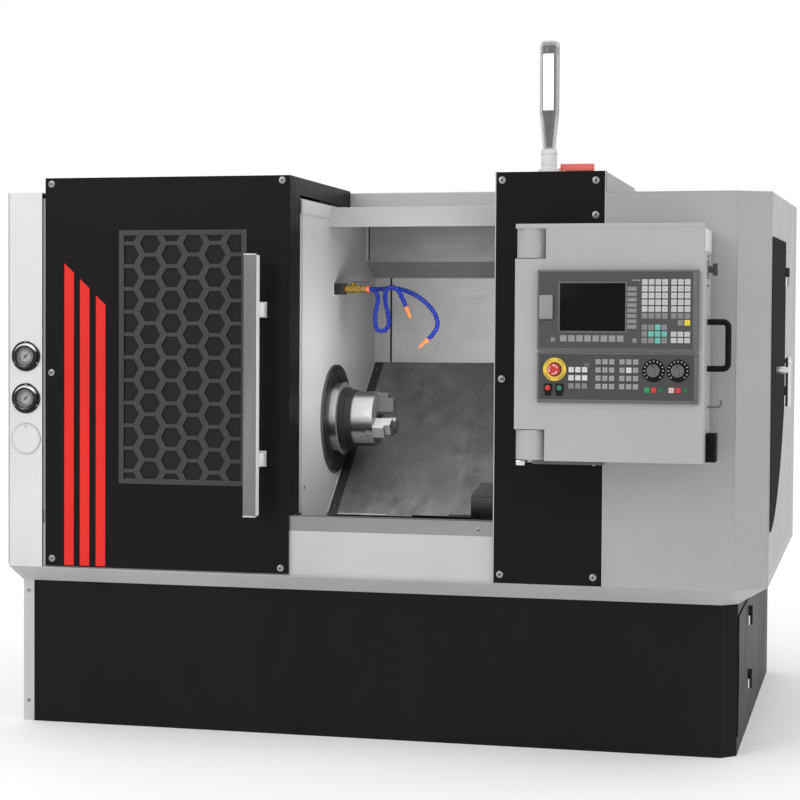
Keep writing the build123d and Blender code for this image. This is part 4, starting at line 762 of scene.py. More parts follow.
# The CAD nodes that show as they are, by their finish
NODE_FINISHES = {
    "black": "fascia_panel door_panel",
    "base": "base_cabinet base_door",
    "column": "left_end_cover",
    "front": "casing_floor",
    "casing": "headstock_cover right_cover rear_cabinet roof_box",
    "interior": "spindle_wall",
    "beam": "roof_beam",
    "pendant": "pendant_box pendant_mount",
    "side_pane": "side_door",
    "lined": "back_wall",
    "sill": "sill_rail",
    "way": "way_cover_fixed way_cover_mid",
    "trough": "chip_trough",
    "grille": "door_grille",
    "pane": "door_window",
    "handle": "door_handle",
    "chuck": "chuck_body",
    "jaw": "jaw_1 jaw_2 jaw_3",
    "spindle": "spindle",
    "seal": "seal_plate",
    "chrome": "side_lever",
    "ring": "pressure_gauges",
    "bed": "bed_casting headstock_casting",
    "block": "carriage cross_slide",
    "turret": "turret_disc motor_pulley",
    "motor": "spindle_motor",
    "belt": "drive_belt",
    "needle": "needle_upper needle_lower",
    "brass": "coolant_valve roof_valve",
    "dark_lever": "coolant_valve_lever pendant_latch",
    "red_lever": "roof_valve_lever",
    "hose": "coolant_hose_1 coolant_hose_2",
    "nozzle": "nozzle_1 nozzle_2",
    "lamp_foot": "lamp_base",
    "tube": "lamp_tube",
    "unit": "display_unit",
    "switches": "switch_panel",
    "stop": "estop_button stop_button",
    "start": "start_button",
    "knob": "feed_knob speed_knob",
    "handle_black": "pendant_handle",
}


class LathePaint(bpy.types.PropertyGroup):
    """Colours of the machine's paint, as linear values."""

    black_coat: FloatVectorProperty(
        name="Black coat", description="Door, fascia and base", subtype="COLOR",
        default=(0.0105, 0.0105, 0.0115),
    )
    light_coat: FloatVectorProperty(
        name="Light coat", description="Casing and pendant", subtype="COLOR", default=(0.43, 0.43, 0.435)
    )
    stripe: FloatVectorProperty(
        name="Stripes", description="Stripes on the door", subtype="COLOR", default=(0.82, 0.028, 0.02)
    )


class LatheStage(bpy.types.PropertyGroup):
    """Camera and light."""

    lens: FloatProperty(
        name="Lens", description="Focal length in millimetres", default=89.79, min=20, max=300
    )
    key_power: FloatProperty(
        name="Key light", description="Power of the front lamp", unit="POWER", default=51
    )
    fill_power: FloatProperty(
        name="Fill light", description="Power of the side lamp", unit="POWER", default=20
    )
    top_power: FloatProperty(
        name="Top light", description="Power of the lamp above", unit="POWER", default=34
    )
    inside_power: FloatProperty(
        name="Inside light", description="Power of the lamp on the work area", unit="POWER", default=2.1
    )
    sky: FloatProperty(
        name="Sky", description="Strength of the even light all round", default=0.77, min=0, max=2
    )


class LatheTrim(bpy.types.PropertyGroup):
    """Sizes of the trim."""

    screw_radius: FloatProperty(
        name="Screw radius", description="Button head, in millimetres", default=7.5, min=2, max=15
    )
    stripe_width: FloatProperty(
        name="Stripe width", description="Width of a door stripe, in millimetres", default=29.0, min=5, max=60
    )
    link_pitch: FloatProperty(
        name="Link pitch", description="Spacing of the hose's links", subtype="DISTANCE", default=0.0118
    )
    hose_diameter: FloatProperty(
        name="Hose diameter", description="Over a link's ball", subtype="DISTANCE", default=0.015
    )
    dial_marks: IntProperty(
        name="Dial marks", description="Marks round a gauge's dial", default=25, min=5, max=60
    )


class LATHE_OT_stage(bpy.types.Operator):
    """Camera at the photograph's angle, pale floor and soft studio light"""

    bl_idname = "lathe.stage"
    bl_label = "Stage"

    def execute(self, context):
        settings = context.scene.lathe_stage
        context.scene.view_settings.view_transform = "Standard"
        self.camera(context, settings.lens)
        for name, power, spot, target, size in (
            ("key", settings.key_power, (-2.2, -5.2, 3.4), (0, -0.6, 1.0), 2.6),
            ("fill", settings.fill_power, (5.0, -3.6, 2.4), (0.5, 0, 1.0), 2.8),
            ("top", settings.top_power, (0.3, -0.6, 5.2), (0, 0, 1.0), 3.2),
            ("inside", settings.inside_power, (0.22, -0.62, 1.12), (-0.24, -0.36, 1.02), 0.2),
        ):
            lamp = bpy.data.lights.new(name, "AREA")
            lamp.energy, lamp.size = power, size
            made = to_scene(name, lamp)
            made.matrix_world = Matrix.Translation(spot) @ facing(Vector(spot) - Vector(target)).to_4x4()
            made.visible_camera = False
            made.visible_glossy = made.visible_transmission = name != "inside"
        self.world(context, settings.sky)
        self.floor()
        return {"FINISHED"}

    def camera(self, context, lens):
        """Camera fitted to the photograph's edges."""
        camera = to_scene("camera", bpy.data.cameras.new("camera"))
        camera.data.lens = lens
        camera.data.sensor_width = 36.0
        right = Vector((0.97171, 0.23618, 0.006106))
        forward = Vector((-0.23587, 0.97126, -0.031934))
        up = Vector((-0.013473, 0.02959, 0.99949))
        turn = Matrix((right, up, -forward)).transposed()
        camera.matrix_world = Matrix.Translation((1.387, -6.166, 1.138)) @ turn.to_4x4()
        context.scene.camera = camera

    def world(self, context, sky):
        """Even light all round, which the camera and reflections see as white."""
        world = bpy.data.worlds.new("studio")
        context.scene.world = world
        world.use_nodes = True
        nodes = Nodes(world.node_tree)
        path = nodes.node("ShaderNodeLightPath").outputs
        seen = nodes.maths("MAXIMUM", path["Is Camera Ray"], path["Is Transmission Ray"])
        seen = nodes.maths("MAXIMUM", seen, path["Is Glossy Ray"])
        background = world.node_tree.nodes["Background"].inputs
        nodes.feed(background["Strength"], nodes.span(seen, 0.0, 1.0, sky, 1.0))
        nodes.feed(background["Color"], (1, 1, 1))

    def floor(self):
        """Wide pale floor under the machine."""
        mesh = bpy.data.meshes.new("floor")
        corners = [(x, y, 0) for x, y in rectangle(-30, 30, -30, 30)]
        mesh.from_pydata(corners, [], [(0, 1, 2, 3)])
        pale = Finish("floor_pale", (0.93, 0.93, 0.93), 0.7)
        away = pale.node("ShaderNodeVectorMath", {0: pale.point}, operation="LENGTH").outputs["Value"]
        path = pale.node("ShaderNodeLightPath").outputs
        seen = pale.maths("MAXIMUM", path["Is Camera Ray"], path["Is Glossy Ray"])
        pale.set(
            Base_Color=pale.blend(pale.noise(0.8, 3.0), (0.92, 0.92, 0.92), (0.95, 0.95, 0.95)),
            Emission_Color=(1, 1, 1),
            Emission_Strength=pale.maths("MULTIPLY", seen, pale.span(away, 1.0, 6.0, 0.15, 0.34)),
        )
        mesh.materials.append(pale.material)
        to_scene("floor", mesh)


class LATHE_OT_finishes(bpy.types.Operator):
    """Gives every CAD node its finish"""

    bl_idname = "lathe.finishes"
    bl_label = "Finishes"

    def execute(self, context):
        build_finishes(context.scene.lathe_paint)
        for finish, nodes in NODE_FINISHES.items():
            for node in nodes.split():
                mesh = frame["nodes"][node]
                if not mesh.material_slots:
                    mesh.data.materials.append(None)
                for material_slot in mesh.material_slots:
                    material_slot.material = FINISHES[finish]
        TREES.update(points=point_tree(), grid=grid_tree(), links=link_tree())
        return {"FINISHED"}


class LATHE_OT_door(bpy.types.Operator):
    """Stripes, screws, folds and window bead of the sliding door, and its handle's trim with a painted
    highlight on its side
    """

    bl_idname = "lathe.door"
    bl_label = "Door trim"

    def execute(self, context):
        trim = context.scene.lathe_trim
        stripes = Shape()
        for left, top in ((-913.0, 1342.0), (-865.0, 1297.0), (-816.0, 1250.0)):
            right = left + trim.stripe_width
            outline = [(left, 468.0), (right, 468.0), (right, top - 27.0), (left, top)]
            stripes.prism(outline, place(0, 0, 0), FRONT, 0.4)
        stripes.piece("door_stripes", "stripe", "lever_red", "door")
        spots = [(-953, 0, 1570), (-953, 0, 1027), (-951, 0, 489), (-260, 0, 483), (-259, 0, 1573)]
        screws("door_screws", looking(TO_FRONT, spots), trim.screw_radius, body="door")
        window = border((-745, -362), (711, 1436), (15.5, 15.5, 15.5, 15.5), (-3.4, -1.6))
        caps = [(-340.4, -301.6, -100.4, -69.6, low, low + 4) for low in (633, 1360)]
        # Painted highlight: a thin bright strip on the handle's right side; the seats take the same bright
        # finish
        side = [(-302.2, -301.7, -98.6, -71.4, 637, 1360)]
        for z in (791, 1210):
            side.append((-302.2, -301.7, -70, -2, z - 19, z + 19))
            side.append((-337, -301.8, -4.0, -0.1, z - 22, z + 22, 1.2))
        for name, finish, slot, round_off, rows in (
            ("door_folds", "black", "black_paint", 1.0, [
                (-238.2, -235.7, 26, 34, 668, 1583),
                (-239.4, -235.7, 54, 62, 668, 1583),
                (-238.2, -235.7, 80, 88, 668, 1583),
            ]),
            ("door_edge_fold", "black", "black_paint", 0.3, [
                (-971, -237, -0.7, 0.2, 467.5, 470.5),
                (-971.5, -969.5, -0.7, 0.2, 467.5, 1586),
                (-238.5, -236.2, -0.7, 0.2, 633, 1586),
                (-971, -237, -0.7, 0.2, 1584, 1586.6),
            ]),
            ("window_bead", "grille", "grille_paint", 0.8, window),
            ("handle_caps", "alloy", "handle_metal", 1.2, caps),
            ("handle_side", "handle_edge", "handle_metal", 0.2, side),
        ):
            boxes(name, finish, slot, rows, round_off, "door")
        return {"FINISHED"}


class LATHE_OT_casing(bpy.types.Operator):
    """Screws, seams, edge strips and folds of the fixed casing, with painted shade down the column's left
    edge and painted light on the rear roof lip
    """

    bl_idname = "lathe.casing"
    bl_label = "Casing trim"

    def execute(self, context):
        radius = context.scene.lathe_trim.screw_radius
        fascia = [(367, 1565), (624, 1562), (624, 1469), (369, 1023), (625, 800), (368, 487), (625, 487)]
        screws("fascia_screws", looking(TO_FRONT, [(x, 0, z) for x, z in fascia]), radius)
        screws("sill_screws", looking(TO_FRONT, [(307, 8, 606)]), 7.0, 4.4)
        edges = [(348.2, 350.6, -0.6, 0.3, 464, 1586), (648.6, 650.8, -0.6, 0.3, 464, 1586)]
        boxes("fascia_edges", "front", "black_paint", edges)
        seams = [(1086.6, 1087.6, 988.5, 991.5, 482, 1562), (1086.6, 1087.6, 104, 1599, 480, 482.4)]
        boxes("side_seams", "white", "light_paint", seams)
        folds = Shape()
        for start, end, radius in (
            ((1003, 0.4, 470), (1003, 0.4, 1529), 1.5),
            ((1086.6, 104, 470), (1086.6, 104, 1535), 1.5),
            ((652, 0.4, 1529), (1003, 0.4, 1529), 1.2),
        ):
            folds.sweep([place(*start), place(*end)], radius, 8)
        folds.piece("cover_folds", "casing", "light_paint")
        # Painted shade: a darker bar down the column's rounded left edge
        fold = Shape().sweep([place(-1085.8, 0.9, 470), place(-1085.8, 0.9, 1545)], 2.2, 8)
        fold.piece("column_fold", "casing", "light_paint")
        # Painted light: a thin sheet in the lighter column finish lifts the shade on the rear roof lip
        boxes("rear_roof_lip", "column", "light_paint", [(-960, 346, 651.4, 652.2, 1533.5, 1582.4)], 0.2)
        return {"FINISHED"}


class LATHE_OT_gauges(bpy.types.Operator):
    """Dials, marks, glasses and screws of the pressure gauges, and the blank cap below them"""

    bl_idname = "lathe.gauges"
    bl_label = "Gauges"

    def execute(self, context):
        centres = [place(-1032, 0, height) for height in (1074, 952)]
        ring = [(38.6, 3.2), (38.2, 5), (33.6, 11.4), (31.4, 12.3), (29.2, 11.6), (26.4, 10.9), (26.4, 4.2)]
        flange = [(44.2, 0.3), (44.2, 2.4), (43.2, 3.5), (38.0, 3.6), (36.0, 0.3)]
        glass = [(27.8, 9.6), (27.8, 10.2), (14, 10.9), (0, 11.1)]
        for name, finish, slot, profile, steps, bored in (
            ("gauge_bezels", "ring", "gauge_metal", ring, 64, True),
            ("gauge_flanges", "ring", "gauge_metal", flange, 64, True),
            ("gauge_faces", "dial", "gauge_metal", [(27.9, 4.05), (27.9, 4.35), (0, 4.35)], 64, False),
            ("gauge_centres", "dial_centre", "gauge_metal", [(17, 4.3), (17, 4.45), (0, 4.45)], 48, False),
            ("gauge_glasses", "glass", "lamp_clear", glass, 64, False),
        ):
            shape = Shape()
            for centre in centres:
                shape.turned(profile, centre, FRONT, steps, bored)
            shape.piece(name, finish, slot)
        count = context.scene.lathe_trim.dial_marks
        marks = [spot for centre in centres for spot in dial_places(centre, 15.0, 4.4, count)]
        mark = flat_part(rectangle(-0.45, 0.45, -1.6, 1.6), 0.15)
        set_at_points("gauge_marks", mark, marks, "ink", "needle_metal")
        around = [(40.6 * cos(radians(a)), -3.4, 40.6 * sin(radians(a))) for a in (90, 210, 330)]
        spots = [(centre + Vector(spot) * MM, TO_FRONT) for centre in centres for spot in around]
        screws("gauge_screws", spots, 2.4, 2.0, "gauge_metal")

        cap, rim, centre = Shape(), Shape(), place(-1032, 0, 834)
        cap.turned([(44.3, 0.2), (44.3, 2.4), (43.2, 3.5), (41.8, 3.5), (41.4, 3.1)], centre, FRONT, 64)
        cap.turned([(41.0, 2.9), (40.6, 3.35), (0, 3.35)], centre, FRONT, 64)
        cap.piece("blank_cap_face", "column", "light_paint")
        boxes("blank_cap_tab", "alloy", "light_paint", [(-1034.0, -1029.4, -4.4, -3.0, 866, 875)], 0.6)
        rim.turned([(45.6, -0.2), (45.6, 0.5), (44.2, 0.9), (44.2, -0.2)], centre, FRONT, 64, True)
        rim.turned([(41.9, 3.0), (41.6, 3.56), (41.2, 3.56), (41.0, 3.0)], centre, FRONT, 64, True)
        rim.piece("blank_cap_rim", "strip", "light_paint")
        return {"FINISHED"}


class LATHE_OT_work_area(bpy.types.Operator):
    """Screws, strips, folds and fittings round the spindle and the ways"""

    bl_idname = "lathe.work_area"
    bl_label = "Work area"

    def execute(self, context):
        self.spindle_trim()
        self.way_trim()
        self.wall_trim()
        self.apron_trim()
        return {"FINISHED"}

    def spindle_trim(self):
        """Seal plate's screws and ring, chuck adapter, hub and rings, and screws of the jaws."""
        places = []
        for index in range(6):
            angle = tau * index / 6 + 0.5
            outward = Vector((0, sin(angle), -cos(angle)))
            places.append((on_axis(-226) + outward * 151 * MM, TO_RIGHT, outward))
        set_at_points("seal_plate_screws", screw_head(4.6, 3.2), places, "screw", "chrome")
        chuck_rings = [[(82.2, x - 2), (82.7, x - 1.2), (82.7, x + 1.2), (82.2, x + 2)] for x in (-160, -104)]
        for name, finish, slot, body, steps, profiles in (
            ("seal_ring", "seal", "seal_steel", "machine", 96, [[
                (146, -226.2), (146, -224.4), (143, -223.8), (118, -223.8), (115, -224.6), (115, -226.2),
            ]]),
            ("chuck_adapter", "adapter", "seal_steel", "spindle", 96, [[
                (93.8, -205.2), (94.2, -204), (94.2, -188.2), (88.8, -186.2), (87.2, -185.6),
                (87.2, -168), (85.6, -166.4), (82.2, -166.6), (82.2, -205.2),
            ]]),
            ("chuck_hub", "adapter", "seal_steel", "spindle", 64, [[
                (26.5, -100.5), (26.5, -97.6), (25.2, -96.2), (19.5, -96.2), (18.4, -98), (18.4, -100.5),
            ]]),
            ("chuck_rings", "chuck", "chrome", "spindle", 96, chuck_rings),
        ):
            shape = Shape()
            for profile in profiles:
                shape.turned(profile, on_axis(0), RIGHTWARD, steps, True)
            shape.piece(name, finish, slot, body)
        for index in range(3):
            angle = radians(90 + 120 * index)
            outward = Vector((0, cos(angle), sin(angle)))
            steps = ((-66.1, 70.0), (-50.1, 42.0))
            spots = [(on_axis(x) + outward * radius * MM, TO_RIGHT) for x, radius in steps]
            body = f"jaw_{index + 1}"
            set_at_points(body + "_screws", socket_plug(12.0, 0.5), spots, "adapter", "chrome", body)

    def way_trim(self):
        """Flange and edge strips of the way cover, its screws, and the folds of the sliding sheets."""
        for name, finish, body, strips in (  # strips: x, x, s, s, n, thickness
            ("way_cover_flange", "trough", "machine", [(-236, -205, 4, 724, 2.0, 0.25)]),
            ("way_cover_edge", "front", "machine", [
                (-204, 26, 3, 8, 2.0, 0.5),
                (-235.9, -233.4, 4, 724, 4.1, 3.0),
            ]),
            ("mid_cover_fold", "way", "way_cover_mid", [(-48.5, -44.5, 8, 720, 4.4, 0.9)]),
            ("carriage_cover_fold", "way", "carriage", [(138.5, 143.5, 10, 718, 6.8, 1.2)]),
            ("carriage_cover", "way", "carriage", [(138.2, 400, 9, 719, 6.75, 0.35)]),
        ):
            sheet = Shape()
            for *outline, n, thickness in strips:
                sheet.prism(rectangle(*outline), on_slope(0, 0, n), ON_SLOPE, thickness)
            sheet.piece(name, finish, "way_steel", body)
        spots = [(on_slope(-220.5, s, 2.2), ON_SLOPE @ UP) for s in (40, 205, 370, 535, 690)]
        set_at_points("way_cover_screws", socket_plug(10.0, 0.14), spots, "screw", "chrome")

    def wall_trim(self):
        """Corner strip with painted shade at its edge, inclined strip, hole row of dark discs painted as
        shade, lip and screws of the back and spindle walls.
        """
        boxes("corner_strip", "interior", "liner_steel", [
            (-235.8, -184.0, 963.4, 966.8, 1054, 1327, 0.5),
            (-212.0, -206.0, 960.4, 963.6, 1054, 1327, 0.8),
            (-235.8, -229.0, 846.0, 849.8, 1380, 1580, 0.6),
        ])
        # Painted shade: dark strips in the gaps beside the corner strips
        gap = [(-184.0, -178.5, 962.6, 966.9, 1054, 1327), (-229.0, -224.6, 847.4, 849.9, 1380, 1580)]
        boxes("corner_gap", "socket", "liner_steel", gap)
        tilt = Matrix.Rotation(atan2(1377.0 - 1328.0, -(967.0 - 850.0)), 3, "X")
        strip = Shape().prism(rectangle(-235, 650, 2, 125), place(0, 967, 1326.2), tilt, -1.6)
        strip.piece("inclined_strip", "ledge", "liner_steel")
        # Painted shade: dark discs stand for the holes, dark from the shade behind the sheet
        holes = [(-200 + 68 * i, 847.2, 1552 - 4 * (i % 2)) for i in range(8)]
        disc = Shape().turned([(5.0, 0.0), (5.0, 0.4), (0, 0.4)], (0, 0, 0), FLAT, 20)
        set_at_points("back_wall_holes", disc.data("hole"), looking(TO_FRONT, holes), "socket", "seal_steel")
        boxes("spindle_wall_lip", "front", "light_paint", [(-236.2, -231.0, 108, 407, 1488, 1526)], 1.0)
        wall = [(-236, 150, 1500), (-236, 630, 1500), (-236, 150, 700), (-236, 930, 1290)]
        screws("spindle_wall_screws", looking(TO_RIGHT, wall), 4.4, 3.0)

    def apron_trim(self):
        """Front plate, top and fittings of the apron."""
        plates = [(229.6, 680, 277.6, 280.2, 608.5, 674), (228.4, 230.2, 281, 386, 609, 674, 0.8)]
        boxes("apron_plate", "block", "machine_casting", plates, 1.0, "carriage")
        outline = [(282, 675), (388, 675), (432, 706), (300, 684), (282, 680)]
        along = Matrix(((0, 0, 1), (1, 0, 0), (0, 1, 0)))
        top = Shape().prism(outline, place(230, 0, 0), along, 449)
        top.piece("apron_top", "apron_top", "machine_casting", "carriage")
        fittings = Shape().block((330, 372), (330, 360), (680, 716), 3.0)
        tall = [(9, 0), (9, 14), (7, 16), (7, 24), (4, 26), (0, 26)]
        fittings.turned(tall, place(404, 344, 680), facing(UP), 24)
        fittings.turned([(7, 0), (7, 9), (4, 11), (0, 11)], place(351, 345, 716), facing(UP), 24)
        fittings.piece("apron_fittings", "block", "machine_casting", "carriage")


# The hoses' routes in millimetres, as (x, depth, z)
HOSE_ROUTES = {
    "coolant_hose_1": [
        (-138, 473, 1280), (-112, 473, 1280), (-96, 464, 1252), (-104, 457, 1216), (-106, 452, 1184),
        (-99, 450, 1154), (-69, 451, 1153), (-61, 456, 1184), (-70, 461, 1218), (-78, 465, 1250),
        (-76, 468, 1284), (-44, 470, 1286), (-26, 469, 1256), (-13, 468, 1226),
    ],
    "coolant_hose_2": [
        (-138, 497, 1280), (-98, 497, 1280), (-52, 495, 1284), (-6, 491, 1272), (38, 486, 1246),
        (76, 479, 1208), (88, 472, 1160), (56, 468, 1130),
    ],
}


class LATHE_OT_coolant(bpy.types.Operator):
    """Segmented coolant hoses, their nozzles' rings and the valve's fittings"""

    bl_idname = "lathe.coolant"
    bl_label = "Coolant"

    def execute(self, context):
        trim = context.scene.lathe_trim
        for number, (name, route) in enumerate(HOSE_ROUTES.items()):
            nozzle = f"nozzle_{number + 1}"
            points = [place(*point) for point in route]
            self.hose(name, nozzle, points, trim.link_pitch, trim.hose_diameter)
            rings, turn = Shape(), facing(points[-1] - points[-2])
            for height in (1.5, 5.5):
                low, high = height - 0.9, height + 0.9
                profile = [(6.4, low - 0.1), (8.1, low), (8.1, high), (6.4, high + 0.1)]
                rings.turned(profile, points[-1], turn, 28, True)
            rings.piece(nozzle + "_rings", "nozzle", "nozzle_orange")
        self.fittings()
        return {"FINISHED"}

    def hose(self, name, nozzle, points, pitch, diameter):
        """Ball-and-socket links on the route's spline, in place of the CAD hose, which is hidden."""
        curve = bpy.data.curves.new(name + "_line", "CURVE")
        curve.dimensions = "3D"
        curve.resolution_u = 24
        spline = curve.splines.new("NURBS")
        spline.points.add(len(points) - 1)
        for point, spot in zip(spline.points, points):
            point.co = (*spot, 1.0)
        spline.order_u = 3
        spline.use_endpoint_u = True
        holder = to_scene(name + "_line", curve)
        bpy.context.view_layer.update()
        seen = holder.evaluated_get(bpy.context.evaluated_depsgraph_get())
        line = [vert.co.copy() for vert in bpy.data.meshes.new_from_object(seen).vertices]
        radius, half = diameter * 500, pitch * 500
        profile = [
            (0.5, -1.18), (0.66, -1.1), (0.78, -0.8), (0.98, -0.62), (1.0, -0.1),
            (0.96, 0.38), (0.8, 0.72), (0.7, 0.86), (0.6, 1.12),
        ]
        link = Shape().turned([(radius * r, half * h) for r, h in profile], (0, 0, 0), FLAT, 20)
        piece = repeat(
            "links", curve, link.data("hose_link"), name + "_links", "hose", "hose_blue", Pitch=pitch
        )
        bpy.data.objects.remove(holder)
        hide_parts(name)

    def fittings(self):
        """Collars, nuts, block and plate of the coolant valve."""
        collar = [(7.9, -140), (9.6, -139.4), (9.9, -131), (9.0, -127.6), (7.9, -127.0)]
        nut = [(11.6, -150.4), (11.6, -141.2), (10.4, -140.2), (8.0, -140.2), (8.0, -150.4)]
        for name, finish, slot, profile, steps in (
            ("hose_collars", "nozzle", "nozzle_orange", collar, 28),
            ("hose_nuts", "chrome", "valve_brass", nut, 6),
        ):
            shape = Shape()
            for depth in (473, 497):
                shape.turned(profile, place(0, depth, 1280), RIGHTWARD, steps, True)
            shape.piece(name, finish, slot)
        boxes("valve_block", "block", "valve_brass", [(-235.8, -201.6, 455.7, 490.3, 1262.7, 1297.3)], 1.2)
        boxes("valve_backing", "white", "light_paint", [(-235.9, -234.4, 450, 496, 1256, 1304)], 0.6)


class LATHE_OT_roof(bpy.types.Operator):
    """Signal lamp's inner bar, core, rings and screws, and the grip of the roof valve's lever"""

    bl_idname = "lathe.roof"
    bl_label = "Roof gear"

    def execute(self, context):
        foot = place(479, 100, 0)
        boxes("lamp_bar", "led", "lamp_clear", [(465, 493, 76, 82, 1761, 1916)], 1.2)
        core, rings = Shape(), Shape()
        for profile in (
            [(7, 1662), (17, 1752), (23, 1756), (23, 1759.6), (0, 1759.6)],
            [(23, 1917.4), (24, 1919), (24, 1934), (20, 1940), (0, 1942)],
            [(20.5, 1760.4), (20.5, 1916.6)],
        ):
            core.turned(profile, foot, UPRIGHT, 32)
        core.piece("lamp_core", "lamp_core", "lamp_clear")
        grip = [(507, 600.5, 119.4, 136.6, 1597.5, 1617.5, 3.4, 3)]
        boxes("roof_lever_grip", "red_lever", "lever_red", grip, body="roof_valve_lever")
        for profile in (
            [(22.4, 1640), (23.0, 1641), (23.0, 1647), (21.5, 1648), (21.5, 1640)],
            [(22.4, 1612), (22.9, 1613), (22.9, 1616), (21.5, 1617), (21.5, 1612)],
        ):
            rings.turned(profile, foot, UPRIGHT, 48, True)
        rings.piece("lamp_rings", "lamp_foot", "lamp_metal")
        around = [(23.5 * cos(radians(a)), 23.5 * sin(radians(a)), 1600) for a in (45, 165, 285)]
        screws("lamp_screws", [(foot + Vector(spot) * MM, UP) for spot in around], 2.6, 2.0, "lamp_metal")
        return {"FINISHED"}


# Depths of the faces that the pendant's keys stand on
UNIT_FACE = -220.0
SWITCH_FACE = -215.0

# Groups of keys: depth, pitch, size, thickness, with bars, and blocks of
# (name, finish, x and z of the top left key, columns, rows)
KEYS = (
    (UNIT_FACE, (14, 14), (24, 11), 1.0, False, [("side_soft_keys", "dark_key", 751.2, 1264, 1, 8)]),
    (UNIT_FACE, (21.2, 21.2), (17.5, 17), 1.0, False, [("low_soft_keys", "flap", 573.4, 1135.2, 8, 1)]),
    (UNIT_FACE, (14, 14), (12, 12), 1.0, True, [
        ("page_key_left", "grey_key", 546, 1132, 1, 1),
        ("page_key_right", "grey_key", 759, 1130.5, 1, 1),
    ]),
    (UNIT_FACE, (17.4, 17.4), (14.2, 14.2), 1.0, True, [
        ("letter_keys", "pale_key", 784, 1281.5, 4, 5),
        ("letter_keys_low", "grey_key", 784, 1194.5, 4, 1),
        ("number_keys", "pale_key", 859, 1281.5, 3, 5),
        ("number_keys_low", "grey_key", 859, 1194.5, 3, 1),
        ("shift_key", "grey_key", 876.4, 1177, 1, 1),
        ("alarm_key", "yellow_key", 893.8, 1177, 1, 1),
    ]),
    (UNIT_FACE, (17.2, 17.2), (14, 14), 1.0, True, [
        ("cursor_keys_top", "grey_key", 784, 1165, 2, 1),
        ("cursor_key_up", "teal_key", 818.4, 1165, 1, 1),
        ("cursor_key_corner", "grey_key", 835.6, 1165, 1, 1),
        ("cursor_key_side", "grey_key", 784, 1147.8, 1, 2),
        ("cursor_keys_row", "teal_key", 801.2, 1147.8, 3, 1),
        ("cursor_key_left", "grey_key", 801.2, 1130.6, 1, 1),
        ("cursor_key_down", "teal_key", 818.4, 1130.6, 1, 1),
        ("cursor_key_end", "grey_key", 835.6, 1130.6, 1, 1),
    ]),
    (UNIT_FACE, (17.4, 16.4), (14.2, 13.4), 1.0, True, [("edit_keys", "pale_key", 859, 1147.5, 3, 2)]),
    (SWITCH_FACE - 0.8, (17.7, 21.3), (13.6, 13.6), 0.9, True, [
        ("axis_keys", "light_key", 594, 1054, 3, 2),
        ("axis_keys_low", "grey_key", 594, 1011.5, 3, 1),
        ("mode_keys", "mid_key", 664.5, 1075, 3, 4),
        ("run_keys", "mid_key", 726.5, 1075, 3, 1),
        ("run_keys_second", "mid_key", 726.5, 1053.7, 1, 1),
        ("run_key_middle", "light_key", 744.2, 1053.7, 1, 1),
        ("run_keys_end", "mid_key", 761.9, 1053.7, 1, 1),
        ("run_keys_low", "mid_key", 726.5, 1032.4, 3, 2),
        ("drive_key_1", "green_key", 791.3, 1003, 1, 1),
        ("drive_key_2", "red_key", 808.9, 1003, 1, 1),
        ("drive_key_3", "dark_green_key", 826.5, 1003, 1, 1),
        ("drive_key_4", "pink_key", 853.9, 1003, 1, 1),
        ("drive_key_5", "red_key", 871.5, 1003, 1, 1),
        ("drive_key_6", "dark_green_key", 889.1, 1003, 1, 1),
    ]),
)


def key_cap(wide, tall, thick, taper=0.8):
    """Key in metres, z outward, with a sloped rim."""
    shape, rings = Shape(), []
    for height, inset in ((0.0, 0.0), (thick * 0.6, 0.0), (thick, taper)):
        w, t = wide / 2 - inset, tall / 2 - inset
        rings.append(shape.ring((0, 0, 0), FLAT, [(x, y, height) for x, y in rectangle(-w, w, -t, t)]))
    return shape.skin(rings).data("key_cap", False)


